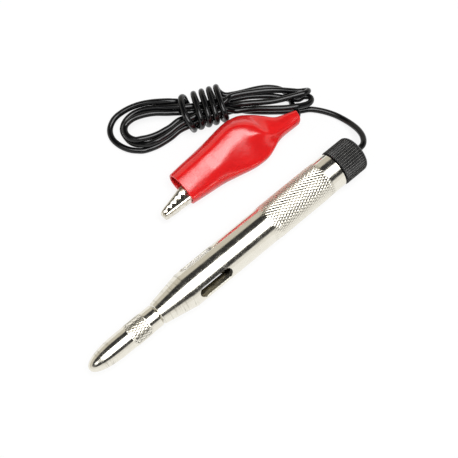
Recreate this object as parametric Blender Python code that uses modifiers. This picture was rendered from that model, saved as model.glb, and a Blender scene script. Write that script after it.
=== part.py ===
"""A pen-shaped circuit test light with a capped needle, a wrapped cord and a booted clip.

The pen lies along X with its needle end at -X. The clip and the wound cord lie on the table beside it.
Lengths are in metres, and MM turns millimetres into metres.
"""
import math

import bmesh
import bpy
from mathutils import Vector

MM = 0.001

# Clearances and seams
FIT_GAP = 0.3 * MM
MERGE = 0.001 * MM

# Pen lengths, from the needle end to the cord end
TIP_CAP_LENGTH = 26.0 * MM
BARREL_LENGTH = 73.0 * MM
END_CAP_LENGTH = 9.4 * MM
PEN_LENGTH = TIP_CAP_LENGTH + FIT_GAP + BARREL_LENGTH + FIT_GAP + END_CAP_LENGTH
TIP_X = -55.0 * MM

# Barrel
BARREL_RADIUS = 6.0 * MM
BARREL_WALL = 1.1 * MM
WINDOW_WALL = 1.5 * MM
BARREL_BORE_RADIUS = BARREL_RADIUS - BARREL_WALL
WINDOW_BORE_RADIUS = BARREL_RADIUS - WINDOW_WALL
BARREL_CHAMFER = 0.25 * MM
CONE_LENGTH = 11.7 * MM
CONE_FRONT_RADIUS = 3.85 * MM
SPIGOT_RADIUS = 2.3 * MM
SPIGOT_LENGTH = 6.0 * MM

# Windows around the bulb
WINDOW_COUNT = 3
WINDOW_LENGTH = 12.4 * MM
WINDOW_WIDTH = 3.8 * MM
WINDOW_SETBACK = 1.6 * MM
LEDGE_SETBACK = 1.5 * MM

# Knurled grips
GROOVE_SPACING = 1.81 * MM
KNURL_CREST = 0.1 * MM
KNURL_DEPTH = 0.35 * MM
BARREL_KNURL_LENGTH = 25.3 * MM
BARREL_KNURL_SETBACK = 4.8 * MM
BARREL_KNURL_STARTS = 36
CAP_KNURL_LENGTH = 7.24 * MM
CAP_KNURL_SETBACK = 3.6 * MM
CAP_KNURL_STARTS = 24

# Tip cap
TIP_CAP_RADIUS = 3.7 * MM
NOSE_LENGTH = 12.0 * MM
NOSE_WALL = 1.4 * MM
NOSE_FULLNESS = 2.3
NOSE_STEPS = 6

# Probe needle
NEEDLE_RADIUS = 1.0 * MM
NEEDLE_POINT_LENGTH = 5.0 * MM
NEEDLE_HEAD_RADIUS = 1.9 * MM
NEEDLE_HEAD_LENGTH = 1.5 * MM
NOSE_BORE_LENGTH = 11.0 * MM

# Bulb and its holder
SLEEVE_LENGTH = 10.0 * MM
SLEEVE_WALL = 0.9 * MM
BULB_BASE_WALL = 0.5 * MM
BULB_FLANGE_LENGTH = 1.0 * MM
BULB_BASE_INSET = 1.5 * MM
GLASS_ROOM = 1.6 * MM
GLASS_RADIUS = WINDOW_BORE_RADIUS - GLASS_ROOM
GLASS_WALL = 0.4 * MM
GLASS_LENGTH = 11.5 * MM
GLASS_NECK_LENGTH = 3.5 * MM
BEAD_LENGTH = 2.0 * MM
LEAD_IN_RADIUS = 0.12 * MM
LEAD_IN_LENGTH = 4.0 * MM
FILAMENT_RISE = 0.5 * MM
INSULATOR_LENGTH = 1.2 * MM
CONTACT_RADIUS = 1.6 * MM
CONTACT_LENGTH = 0.8 * MM
HEAD_TAPER = 0.8

# Contact spring and wire terminal
SPRING_WIRE_RADIUS = 0.3 * MM
SPRING_FRONT_RADIUS = 1.2 * MM
SPRING_REAR_RADIUS = 3.0 * MM
SPRING_TURNS = 6
TERMINAL_EDGE_GAP = 0.7 * MM
TERMINAL_FLANGE_LENGTH = 1.0 * MM
TERMINAL_BOSS_LENGTH = 2.5 * MM
CUP_LENGTH = 5.0 * MM
CUP_WALL = 0.4 * MM

# End cap
END_CAP_OVERHANG = 0.2 * MM
END_CAP_RADIUS = BARREL_RADIUS + END_CAP_OVERHANG
END_CAP_EDGE_RADIUS = 1.7 * MM
RIB_COUNT = 48
RIB_DEPTH = 0.25 * MM
PLUG_LENGTH = 6.3 * MM

# Cord
CORD_RADIUS = 1.0 * MM
CORD_POINT_SPACING = 3.2 * MM
STRANDS_RADIUS = 0.35 * MM

# Wound cord: its height, and the ring of turns that ties it
HANK_HEIGHT = 4.2 * MM
TIE_LENGTH = 12.4 * MM
TIE_HALF_WIDTH = 6.6 * MM
TIE_HEIGHT = 8.6 * MM
TIE_CENTRE = (28.4 * MM, 44.6 * MM)
TIE_ANGLE = math.radians(67.8)

# Clip: its rivet stands upright, and the clip's own X runs back from the rivet to the cord
CLIP_PLACE = (12.1 * MM, 25.74 * MM)
CLIP_TURN = math.radians(6.0)
SHEET = 0.6 * MM
JAW_BEND_RADIUS = 1.0 * MM
JAW_FRONT = 19.0 * MM
JAW_REAR = 21.0 * MM
TAIL_WALL = 2.2 * MM
EAR_REACH = 1.7 * MM
EAR_HALF_LENGTH = 2.0 * MM
TOOTH_PITCH = 2.0 * MM
TOOTH_DEPTH = 1.0 * MM
TOOTH_ROW_START = -17.5 * MM
TOOTH_ROW_END = -6.5 * MM
OUTER_HALF_WIDTH = 2.9 * MM
INNER_HALF_WIDTH = OUTER_HALF_WIDTH - SHEET - FIT_GAP
TIP_HALF_WIDTH = 1.9 * MM
TIP_END_SHARE = 0.65
TIP_SHOULDER_SHARE = 0.9
TAIL_HALF_WIDTH = 2.5 * MM
RIVET_RADIUS = 1.1 * MM
RIVET_HEAD_RADIUS = 1.8 * MM
RIVET_HEAD_LENGTH = 0.4 * MM
CLIP_SPRING_WIRE_RADIUS = 0.25 * MM
CLIP_SPRING_RADIUS = 1.9 * MM
CLIP_SPRING_TURNS = 2
CLIP_SPRING_LEG = 11.0 * MM
SCREW_PLACE = 16.0 * MM
SCREW_RADIUS = 0.8 * MM
SCREW_HEAD_RADIUS = 1.6 * MM
SCREW_HEAD_LENGTH = 0.9 * MM
SCREW_LENGTH = 2.8 * MM
SCREW_SLOT = 0.5 * MM

# Half the spread between the jaws' backs, at places along the clip
JAW_SPREAD = [
    (-JAW_FRONT, 0.8 * MM),
    (-JAW_FRONT + 0.7 * MM, 1.3 * MM),
    (-JAW_FRONT + 3.0 * MM, 1.75 * MM),
    (-8.7 * MM, 2.75 * MM),
    (0.0 * MM, 4.0 * MM),
    (6.0 * MM, 5.0 * MM),
    (12.0 * MM, 6.1 * MM),
    (16.0 * MM, 6.5 * MM),
    (JAW_REAR - 2.0 * MM, 6.3 * MM),
    (JAW_REAR, 5.8 * MM),
]

# Boot sections in the clip's frame: place, left side, right side, half height
BOOT_SKIN = 0.7 * MM
BOOT_HALF_HEIGHT = 4.6 * MM
BOOT_SECTIONS = [
    (-8.6 * MM, 8.25 * MM, -3.6 * MM, 4.1 * MM),
    (-3.0 * MM, 8.2 * MM, -4.75 * MM, 4.5 * MM),
    (3.0 * MM, 8.0 * MM, -6.0 * MM, BOOT_HALF_HEIGHT),
    (8.0 * MM, 8.0 * MM, -7.65 * MM, BOOT_HALF_HEIGHT),
    (13.0 * MM, 8.15 * MM, -9.4 * MM, BOOT_HALF_HEIGHT),
    (17.0 * MM, 8.1 * MM, -10.2 * MM, BOOT_HALF_HEIGHT),
    (20.0 * MM, 7.55 * MM, -10.25 * MM, 4.5 * MM),
    (23.0 * MM, 6.4 * MM, -9.6 * MM, 4.2 * MM),
    (25.5 * MM, 4.5 * MM, -8.9 * MM, 3.8 * MM),
    (28.0 * MM, 1.4 * MM, -8.7 * MM, 3.3 * MM),
    (30.0 * MM, -1.6 * MM, -8.8 * MM, 2.8 * MM),
    (32.5 * MM, -3.6 * MM, -9.0 * MM, 2.4 * MM),
    (36.3 * MM, -5.35 * MM, -9.45 * MM, 2.05 * MM),
]
BOOT_SIDES = 24
BOOT_SQUARENESS = 3.0

# Cord route from the pen's end cap down to the table and on to the wound part, chosen by hand
LEAD_ROUTE = [
    (57.6 * MM, 0.4 * MM, 6.1 * MM),
    (59.6 * MM, 2.3 * MM, 5.3 * MM),
    (60.9 * MM, 5.2 * MM, 4.0 * MM),
    (61.4 * MM, 8.5 * MM, 2.6 * MM),
    (61.2 * MM, 12.0 * MM, 1.5 * MM),
    (60.3 * MM, 15.3 * MM, 1.1 * MM),
    (58.8 * MM, 18.3 * MM, 1.02 * MM),
    (56.6 * MM, 21.4 * MM, 1.02 * MM),
    (55.0 * MM, 23.0 * MM, 1.02 * MM),
]
# Cord route inside the boot, in the clip's frame, and from its neck to the wound part
TAIL_IN_BOOT = [
    (22.4 * MM, -4.9 * MM, 0.0),
    (26.0 * MM, -5.4 * MM, 0.0),
    (30.0 * MM, -6.0 * MM, 0.0),
    (33.4 * MM, -6.9 * MM, 0.0),
    (36.6 * MM, -7.4 * MM, 0.0),
]
TAIL_END = (51.1 * MM, 24.0 * MM, 3.3 * MM)
STRANDS_ROUTE = [
    (22.1 * MM, -4.7 * MM, 0.2 * MM),
    (20.4 * MM, -4.85 * MM, 0.9 * MM),
    (18.2 * MM, -5.1 * MM, 1.45 * MM),
    (14.2 * MM, -5.0 * MM, 1.45 * MM),
]

# Outline of the wound cord seen from above, and of the hole in its open loop
HANK_OUTLINE = [
    (-2.0 * MM, 57.2 * MM), (-0.5 * MM, 61.2 * MM), (3.4 * MM, 63.2 * MM), (7.6 * MM, 63.2 * MM),
    (12.0 * MM, 61.8 * MM), (17.0 * MM, 58.6 * MM), (22.6 * MM, 52.8 * MM), (29.0 * MM, 48.6 * MM),
    (37.8 * MM, 43.4 * MM), (45.2 * MM, 39.1 * MM), (49.6 * MM, 36.8 * MM), (53.0 * MM, 33.4 * MM),
    (57.2 * MM, 29.6 * MM), (58.1 * MM, 27.0 * MM), (56.6 * MM, 24.4 * MM), (53.6 * MM, 23.6 * MM),
    (50.4 * MM, 25.2 * MM), (45.6 * MM, 28.9 * MM), (40.6 * MM, 33.2 * MM), (35.4 * MM, 37.2 * MM),
    (28.0 * MM, 40.4 * MM), (20.4 * MM, 42.7 * MM), (13.8 * MM, 43.9 * MM), (8.4 * MM, 45.4 * MM),
    (3.8 * MM, 47.2 * MM), (0.4 * MM, 49.7 * MM), (-1.7 * MM, 53.2 * MM),
]
LOOP_HOLE = [
    (4.9 * MM, 53.4 * MM), (6.2 * MM, 51.0 * MM), (10.4 * MM, 49.2 * MM), (15.4 * MM, 48.3 * MM),
    (19.2 * MM, 48.4 * MM), (16.6 * MM, 51.2 * MM), (11.6 * MM, 54.5 * MM), (7.2 * MM, 55.5 * MM),
]

# Places along the pen, counted from its middle
TIP_CAP_REAR = TIP_X + TIP_CAP_LENGTH
BARREL_FRONT = TIP_CAP_REAR + FIT_GAP
BARREL_REAR = BARREL_FRONT + BARREL_LENGTH
END_CAP_FRONT = BARREL_REAR + FIT_GAP
PEN_REAR = TIP_X + PEN_LENGTH
CONE_REAR = BARREL_FRONT + CONE_LENGTH
SPIGOT_FRONT = BARREL_FRONT - SPIGOT_LENGTH
WINDOW_FRONT = CONE_REAR + WINDOW_SETBACK
WINDOW_REAR = WINDOW_FRONT + WINDOW_LENGTH
LEDGE_X = WINDOW_REAR + LEDGE_SETBACK
BARREL_KNURL_REAR = BARREL_REAR - BARREL_KNURL_SETBACK
CAP_KNURL_REAR = TIP_CAP_REAR - CAP_KNURL_SETBACK
PLUG_FRONT = END_CAP_FRONT - PLUG_LENGTH
AXIS_HEIGHT = END_CAP_RADIUS

# Radii that follow from what they hold
NEEDLE_BORE_RADIUS = NEEDLE_RADIUS + FIT_GAP
SLEEVE_RADIUS = BARREL_BORE_RADIUS - FIT_GAP
SLEEVE_BORE_RADIUS = SLEEVE_RADIUS - SLEEVE_WALL
BULB_BASE_RADIUS = SLEEVE_BORE_RADIUS - FIT_GAP
BULB_BASE_BORE = BULB_BASE_RADIUS - BULB_BASE_WALL
GLASS_NECK_RADIUS = BULB_BASE_BORE - FIT_GAP
GLASS_NECK_BORE = GLASS_NECK_RADIUS - GLASS_WALL
LEAD_IN_SPREAD = GLASS_NECK_BORE / 2
PLUG_RADIUS = BARREL_BORE_RADIUS - FIT_GAP
TERMINAL_FLANGE_RADIUS = BARREL_BORE_RADIUS - TERMINAL_EDGE_GAP
CORD_HOLE_RADIUS = CORD_RADIUS + FIT_GAP
CUP_BORE_RADIUS = CORD_RADIUS + FIT_GAP
CUP_RADIUS = CUP_BORE_RADIUS + CUP_WALL
CLIP_HEIGHT = BOOT_HALF_HEIGHT

# Places that follow from one another inside the barrel
NOSE_BORE_REAR = SPIGOT_FRONT + NOSE_BORE_LENGTH
NEEDLE_HEAD_FRONT = NOSE_BORE_REAR + FIT_GAP
NEEDLE_TIP_X = TIP_X + NOSE_WALL + FIT_GAP
SLEEVE_FRONT = LEDGE_X + FIT_GAP
SLEEVE_REAR = SLEEVE_FRONT + SLEEVE_LENGTH
BULB_BASE_FRONT = SLEEVE_FRONT + BULB_BASE_INSET
BULB_FLANGE_FRONT = SLEEVE_REAR + FIT_GAP
BULB_BASE_REAR = BULB_FLANGE_FRONT + BULB_FLANGE_LENGTH
GLASS_REAR = BULB_BASE_FRONT + GLASS_NECK_LENGTH
GLASS_FRONT = GLASS_REAR - GLASS_LENGTH
BEAD_REAR = GLASS_REAR - FIT_GAP
BEAD_FRONT = BEAD_REAR - BEAD_LENGTH
INSULATOR_FRONT = BULB_BASE_REAR + FIT_GAP
CONTACT_FRONT = INSULATOR_FRONT + INSULATOR_LENGTH + FIT_GAP
CONTACT_REAR = CONTACT_FRONT + CONTACT_LENGTH
TERMINAL_FLANGE_REAR = PLUG_FRONT - FIT_GAP
TERMINAL_FLANGE_FRONT = TERMINAL_FLANGE_REAR - TERMINAL_FLANGE_LENGTH
CUP_REAR = TERMINAL_FLANGE_REAR + CUP_LENGTH
CORD_START = TERMINAL_FLANGE_REAR + 2 * FIT_GAP

# Finishes: colour, metallic, roughness
FINISHES = {
    "nickel": ((0.78, 0.75, 0.68), 1.0, 0.16),
    "steel": ((0.62, 0.62, 0.62), 1.0, 0.28),
    "brass": ((0.72, 0.52, 0.24), 1.0, 0.3),
    "copper": ((0.78, 0.38, 0.2), 1.0, 0.35),
    "tungsten": ((0.3, 0.3, 0.32), 1.0, 0.4),
    "bulb glass": ((0.92, 0.94, 0.94), 0.0, 0.05),
    "black glass": ((0.03, 0.03, 0.035), 0.0, 0.15),
    "black plastic": ((0.025, 0.025, 0.027), 0.0, 0.45),
    "cord jacket": ((0.012, 0.012, 0.013), 0.0, 0.3),
    "red vinyl": ((0.8, 0.03, 0.02), 0.0, 0.25),
}

for old in list(bpy.data.objects):
    bpy.data.objects.remove(old, do_unlink=True)

PARTS = bpy.data.collections.new("circuit_test_light")
CUTTERS = bpy.data.collections.new("cutters")
bpy.context.scene.collection.children.link(PARTS)
bpy.context.scene.collection.children.link(CUTTERS)


def finish_material(name):
    """One Principled material for each finish in the list."""
    if name in bpy.data.materials:
        return bpy.data.materials[name]
    colour, metallic, roughness = FINISHES[name]
    material = bpy.data.materials.new(name)
    material.use_nodes = True
    shader = material.node_tree.nodes["Principled BSDF"]
    shader.inputs["Base Color"].default_value = (*colour, 1.0)
    shader.inputs["Metallic"].default_value = metallic
    shader.inputs["Roughness"].default_value = roughness
    return material


def add_empty(name, place, turn):
    empty = bpy.data.objects.new(name, None)
    empty.location = place
    empty.rotation_euler = turn
    PARTS.objects.link(empty)
    return empty


# On the pen's empty, local Z runs along the pen towards the cord. On the clip's, local Z is up.
PEN_AXIS = add_empty("pen_axis", (0, 0, AXIS_HEIGHT), (0, math.radians(90), 0))
TIP_CAP_AXIS = add_empty("tip_cap_axis", (0, 0, AXIS_HEIGHT), (0, math.radians(90), 0))
END_CAP_AXIS = add_empty("end_cap_axis", (0, 0, AXIS_HEIGHT), (0, math.radians(90), 0))
CLIP_AXIS = add_empty("clip_axis", (*CLIP_PLACE, CLIP_HEIGHT), (0, 0, CLIP_TURN))


def add_object(name, data, parent, material):
    """Links an object among the parts, or among the cutters if it has no material."""
    item = bpy.data.objects.new(name, data)
    item.parent = parent
    if material:
        data.materials.append(finish_material(material))
        PARTS.objects.link(item)
    else:
        CUTTERS.objects.link(item)
        item.hide_render = True
        item.display_type = "WIRE"
    return item


def smooth_rounds(mesh):
    mesh.shade_smooth()
    mesh.set_sharp_from_angle(angle=math.radians(35))


def evaluated_mesh(item):
    """The mesh of an object with its modifiers, or of a curve, with its caps joined."""
    bpy.context.view_layer.update()
    graph = bpy.context.evaluated_depsgraph_get()
    mesh = bpy.data.meshes.new_from_object(item.evaluated_get(graph))
    shape = bmesh.new()
    shape.from_mesh(mesh)
    bmesh.ops.remove_doubles(shape, verts=shape.verts, dist=MERGE)
    shape.to_mesh(mesh)
    shape.free()
    return mesh


def as_mesh_object(item):
    """Swaps a curve or a modified object for a plain mesh object of the same name."""
    mesh = evaluated_mesh(item)
    name, parent, place = item.name, item.parent, item.matrix_local.copy()
    collection = item.users_collection[0]
    bpy.data.objects.remove(item, do_unlink=True)
    solid = bpy.data.objects.new(name, mesh)
    solid.parent = parent
    solid.matrix_local = place
    collection.objects.link(solid)
    if collection is CUTTERS:
        solid.hide_render = True
        solid.display_type = "WIRE"
    return solid


def turned(name, profile, parent, material, steps=24):
    """A profile of (place along the axis, radius) points, from the rear to the front down the outer side.

    A profile that comes back up inside a bore ends where it began, and is closed.
    """
    mesh = bpy.data.meshes.new(name)
    shape = bmesh.new()
    corners = [shape.verts.new((radius, 0, place)) for place, radius in profile]
    for first, second in zip(corners, corners[1:]):
        if first.co.x > 0 or second.co.x > 0:
            shape.edges.new((first, second))
    if profile[0][1] > 0:
        shape.edges.new((corners[-1], corners[0]))
    shape.to_mesh(mesh)
    shape.free()
    item = add_object(name, mesh, parent, material)
    screw = item.modifiers.new("turn", "SCREW")
    screw.axis = "Z"
    screw.steps = steps
    screw.render_steps = steps
    screw.use_merge_vertices = True
    screw.merge_threshold = MERGE
    screw.use_smooth_shade = False
    return item


def cut(item, cutter, operation="DIFFERENCE"):
    boolean = item.modifiers.new(cutter.name, "BOOLEAN")
    boolean.operation = operation
    boolean.solver = "EXACT"
    boolean.object = cutter
    return item


def knurl_places(rear, length):
    """The rows of a knurled band, half a groove spacing apart, from the rear to the front."""
    rows = round(length / (GROOVE_SPACING / 2))
    return [rear - length * row / rows for row in range(rows + 1)]


def raise_knurl(item, rows, starts, radius):
    """Turns the rows of a turned body into a diamond knurl: every other corner is a crest."""
    solid = as_mesh_object(item)
    shape = bmesh.new()
    shape.from_mesh(solid.data)
    inner_rows = rows[1:-1]
    row_height = rows[0] - rows[1]
    low = set()
    for corner in shape.verts:
        row = round((inner_rows[0] - corner.co.z) / row_height)
        on_row = 0 <= row < len(inner_rows) and abs(inner_rows[row] - corner.co.z) < MERGE
        if not on_row or corner.co.xy.length < radius / 2:
            continue
        column = round(math.atan2(corner.co.y, corner.co.x) / (math.pi / starts))
        is_low = (row + column) % 2 == 1
        reach = radius + KNURL_CREST - (KNURL_DEPTH if is_low else 0)
        corner.co.xy = corner.co.xy.normalized() * reach
        if is_low:
            low.add(corner)
    for face in list(shape.faces):
        grooves = [corner for corner in face.verts if corner in low]
        if len(face.verts) == 4 and len(grooves) == 2:
            bmesh.utils.face_split(face, *grooves)
    shape.to_mesh(solid.data)
    shape.free()
    return solid


def smooth_route(route, spacing):
    """Evenly spaced points of a smooth curve through the route's own points."""
    points = [Vector(point) for point in route]
    padded = [2 * points[0] - points[1], *points, 2 * points[-1] - points[-2]]
    fine = []
    for before, start, end, after in zip(padded, padded[1:], padded[2:], padded[3:]):
        for step in range(24):
            t = step / 24
            fine.append(0.5 * (2 * start + (end - before) * t
                               + (2 * before - 5 * start + 4 * end - after) * t ** 2
                               + (3 * start - before - 3 * end + after) * t ** 3))
    fine.append(points[-1])
    lengths = [0.0]
    for first, second in zip(fine, fine[1:]):
        lengths.append(lengths[-1] + (second - first).length)
    count = max(2, round(lengths[-1] / spacing))
    even, here = [], 0
    for index in range(count + 1):
        want = lengths[-1] * index / count
        while here < len(fine) - 2 and lengths[here + 1] < want:
            here += 1
        share = (want - lengths[here]) / (lengths[here + 1] - lengths[here])
        even.append(fine[here].lerp(fine[here + 1], share))
    return even


def wire(name, points, radius, parent, material):
    """A round wire through its points, as a curve with closed ends."""
    curve = bpy.data.curves.new(name, "CURVE")
    curve.dimensions = "3D"
    curve.bevel_depth = radius
    curve.bevel_resolution = 2
    curve.use_fill_caps = True
    spline = curve.splines.new("POLY")
    spline.points.add(len(points) - 1)
    for corner, point in zip(spline.points, points):
        corner.co = (*point, 1)
    return add_object(name, curve, parent, material)


def plate(name, outlines, thickness, parent, material):
    """A flat plate with its middle on the local XY plane: the first outline, less the others."""
    curve = bpy.data.curves.new(name, "CURVE")
    curve.dimensions = "2D"
    curve.fill_mode = "BOTH"
    curve.extrude = thickness / 2
    for outline in outlines:
        spline = curve.splines.new("POLY")
        spline.points.add(len(outline) - 1)
        for corner, point in zip(spline.points, outline):
            corner.co = (*point, 0, 1)
        spline.use_cyclic_u = True
    return as_mesh_object(add_object(name, curve, parent, material))


def round_ended(length, width, steps=8):
    """The outline of a slot or a ring section: straight sides and half-round ends."""
    radius = min(length, width) / 2
    outline = []
    for side, centre in ((1, length / 2 - radius), (-1, radius - length / 2)):
        for step in range(steps + 1):
            angle = math.pi * (step / steps - 0.5)
            outline.append((side * math.cos(angle) * radius + centre, side * math.sin(angle) * radius))
    return outline


def closed_smooth(outline, spacing):
    """A smooth closed outline through hand-chosen points."""
    ring = [(*outline[-1], 0), *[(*point, 0) for point in outline], (*outline[0], 0), (*outline[1], 0)]
    dense = smooth_route(ring, spacing / 4)
    start = min(range(len(dense) // 2), key=lambda i: (dense[i] - Vector(ring[1])).length)
    end = min(range(len(dense) // 2, len(dense)), key=lambda i: (dense[i] - Vector(ring[-2])).length)
    return [tuple(point.xy) for point in dense[start:end:4]]


def make_tip_cap():
    rows = knurl_places(CAP_KNURL_REAR, CAP_KNURL_LENGTH)
    rear = [(TIP_CAP_REAR, 0), (TIP_CAP_REAR, TIP_CAP_RADIUS - BARREL_CHAMFER),
            (TIP_CAP_REAR - BARREL_CHAMFER, TIP_CAP_RADIUS)]
    band = [(place, TIP_CAP_RADIUS) for place in rows]
    nose = []
    for step in range(NOSE_STEPS + 1):
        share = 1 - math.sin(math.radians(90) * step / NOSE_STEPS)
        radius = TIP_CAP_RADIUS * max(0, 1 - (1 - share) ** 2) ** (1 / NOSE_FULLNESS)
        nose.append((TIP_X + NOSE_LENGTH * share, radius))
    cap = turned("tip_cap", rear + band + nose, TIP_CAP_AXIS, "nickel", steps=2 * CAP_KNURL_STARTS)
    cap = raise_knurl(cap, rows, CAP_KNURL_STARTS, TIP_CAP_RADIUS)
    thread_end = SPIGOT_FRONT - FIT_GAP
    point_room = NEEDLE_TIP_X + NEEDLE_POINT_LENGTH
    hollow = turned("tip_cap_hollow", [
        (TIP_CAP_REAR + FIT_GAP, 0),
        (TIP_CAP_REAR + FIT_GAP, SPIGOT_RADIUS + FIT_GAP),
        (thread_end, SPIGOT_RADIUS + FIT_GAP),
        (thread_end, NEEDLE_BORE_RADIUS + FIT_GAP),
        (point_room, NEEDLE_BORE_RADIUS + FIT_GAP),
        (TIP_X + NOSE_WALL, 0),
    ], TIP_CAP_AXIS, None)
    cut(cap, hollow)
    smooth_rounds(cap.data)


def make_barrel():
    rows = knurl_places(BARREL_KNURL_REAR, BARREL_KNURL_LENGTH)
    outside = [(BARREL_REAR, 0), (BARREL_REAR, BARREL_RADIUS - BARREL_CHAMFER),
               (BARREL_REAR - BARREL_CHAMFER, BARREL_RADIUS)]
    outside += [(place, BARREL_RADIUS) for place in rows]
    outside += [
        (CONE_REAR, BARREL_RADIUS),
        (BARREL_FRONT + BARREL_CHAMFER, CONE_FRONT_RADIUS),
        (BARREL_FRONT, CONE_FRONT_RADIUS - BARREL_CHAMFER),
        (BARREL_FRONT, SPIGOT_RADIUS),
        (SPIGOT_FRONT, SPIGOT_RADIUS),
        (SPIGOT_FRONT, 0),
    ]
    barrel = turned("barrel", outside, PEN_AXIS, "nickel", steps=2 * BARREL_KNURL_STARTS)
    barrel = raise_knurl(barrel, rows, BARREL_KNURL_STARTS, BARREL_RADIUS)
    head_room = NEEDLE_HEAD_RADIUS + FIT_GAP
    bore = turned("barrel_bore", [
        (BARREL_REAR + FIT_GAP, 0),
        (BARREL_REAR + FIT_GAP, BARREL_BORE_RADIUS),
        (LEDGE_X, BARREL_BORE_RADIUS),
        (LEDGE_X, WINDOW_BORE_RADIUS),
        (CONE_REAR, WINDOW_BORE_RADIUS),
        (NOSE_BORE_REAR + NEEDLE_HEAD_LENGTH + 2 * FIT_GAP, head_room),
        (NOSE_BORE_REAR, head_room),
        (NOSE_BORE_REAR, NEEDLE_BORE_RADIUS),
        (SPIGOT_FRONT - FIT_GAP, NEEDLE_BORE_RADIUS),
        (SPIGOT_FRONT - FIT_GAP, 0),
    ], PEN_AXIS, None, steps=32)
    cut(barrel, bore)
    slot = round_ended(WINDOW_LENGTH, WINDOW_WIDTH)
    for index in range(WINDOW_COUNT):
        angle = 2 * math.pi * index / WINDOW_COUNT
        window = plate("window_%d" % (index + 1), [slot], BARREL_RADIUS, PEN_AXIS, None)
        middle = Vector((BARREL_RADIUS, 0, (WINDOW_FRONT + WINDOW_REAR) / 2))
        window.rotation_euler = (0, math.radians(90), angle)
        window.location = (middle.x * math.cos(angle), middle.x * math.sin(angle), middle.z)
        cut(barrel, window)
    smooth_rounds(barrel.data)


def make_needle():
    turned("probe_needle", [
        (NEEDLE_HEAD_FRONT + NEEDLE_HEAD_LENGTH, 0),
        (NEEDLE_HEAD_FRONT + NEEDLE_HEAD_LENGTH, NEEDLE_HEAD_RADIUS),
        (NEEDLE_HEAD_FRONT, NEEDLE_HEAD_RADIUS),
        (NEEDLE_HEAD_FRONT, NEEDLE_RADIUS),
        (NEEDLE_TIP_X + NEEDLE_POINT_LENGTH, NEEDLE_RADIUS),
        (NEEDLE_TIP_X, 0),
    ], PEN_AXIS, "steel", steps=16)


def make_bulb():
    turned("socket_sleeve", [
        (SLEEVE_REAR, SLEEVE_BORE_RADIUS), (SLEEVE_REAR, SLEEVE_RADIUS),
        (SLEEVE_FRONT, SLEEVE_RADIUS), (SLEEVE_FRONT, SLEEVE_BORE_RADIUS),
    ], PEN_AXIS, "brass")
    floor_x = GLASS_REAR + FIT_GAP
    turned("bulb_base", [
        (BULB_BASE_REAR, 0),
        (BULB_BASE_REAR, SLEEVE_RADIUS),
        (BULB_FLANGE_FRONT, SLEEVE_RADIUS),
        (BULB_FLANGE_FRONT, BULB_BASE_RADIUS),
        (BULB_BASE_FRONT, BULB_BASE_RADIUS),
        (BULB_BASE_FRONT, BULB_BASE_BORE),
        (floor_x, BULB_BASE_BORE),
        (floor_x, 0),
    ], PEN_AXIS, "brass")
    shoulder = BULB_BASE_FRONT - FIT_GAP
    outer, inner = [], []
    for step in range(5):
        angle = math.radians(90) * step / 4
        for side, radius in ((outer, GLASS_RADIUS), (inner, GLASS_RADIUS - GLASS_WALL)):
            side.append((GLASS_FRONT + GLASS_RADIUS - radius * math.sin(angle), radius * math.cos(angle)))
    neck = GLASS_NECK_BORE
    turned("bulb_glass", [
        (GLASS_REAR, neck), (GLASS_REAR, GLASS_NECK_RADIUS), (shoulder, GLASS_NECK_RADIUS),
        (shoulder - GLASS_WALL, GLASS_RADIUS), *outer[:-1], (outer[-1][0], 0),
        (inner[-1][0], 0), *reversed(inner[:-1]), (shoulder - GLASS_WALL, GLASS_RADIUS - GLASS_WALL),
        (shoulder, neck),
    ], PEN_AXIS, "bulb glass", steps=20)
    turned("bulb_bead", [
        (BEAD_REAR, 0), (BEAD_REAR, neck - FIT_GAP), (BEAD_FRONT, neck - FIT_GAP), (BEAD_FRONT, 0),
    ], PEN_AXIS, "bulb glass", steps=16)
    foot = BEAD_FRONT - FIT_GAP
    top = foot - LEAD_IN_LENGTH
    coil = [(LEAD_IN_SPREAD * (1 - step / 3), 0, top - FILAMENT_RISE * math.sin(math.pi * step / 6))
            for step in range(7)]
    wire("bulb_filament", [(LEAD_IN_SPREAD, 0, foot), *coil, (-LEAD_IN_SPREAD, 0, foot)],
         LEAD_IN_RADIUS, PEN_AXIS, "tungsten")
    turned("bulb_insulator", [
        (INSULATOR_FRONT + INSULATOR_LENGTH, 0),
        (INSULATOR_FRONT + INSULATOR_LENGTH, CONTACT_RADIUS),
        (INSULATOR_FRONT, BULB_BASE_BORE),
        (INSULATOR_FRONT, 0),
    ], PEN_AXIS, "black glass", steps=20)
    turned("bulb_contact", [
        (CONTACT_REAR, 0),
        (CONTACT_REAR, CONTACT_RADIUS * HEAD_TAPER),
        (CONTACT_FRONT, CONTACT_RADIUS),
        (CONTACT_FRONT, 0),
    ], PEN_AXIS, "steel", steps=16)


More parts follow.
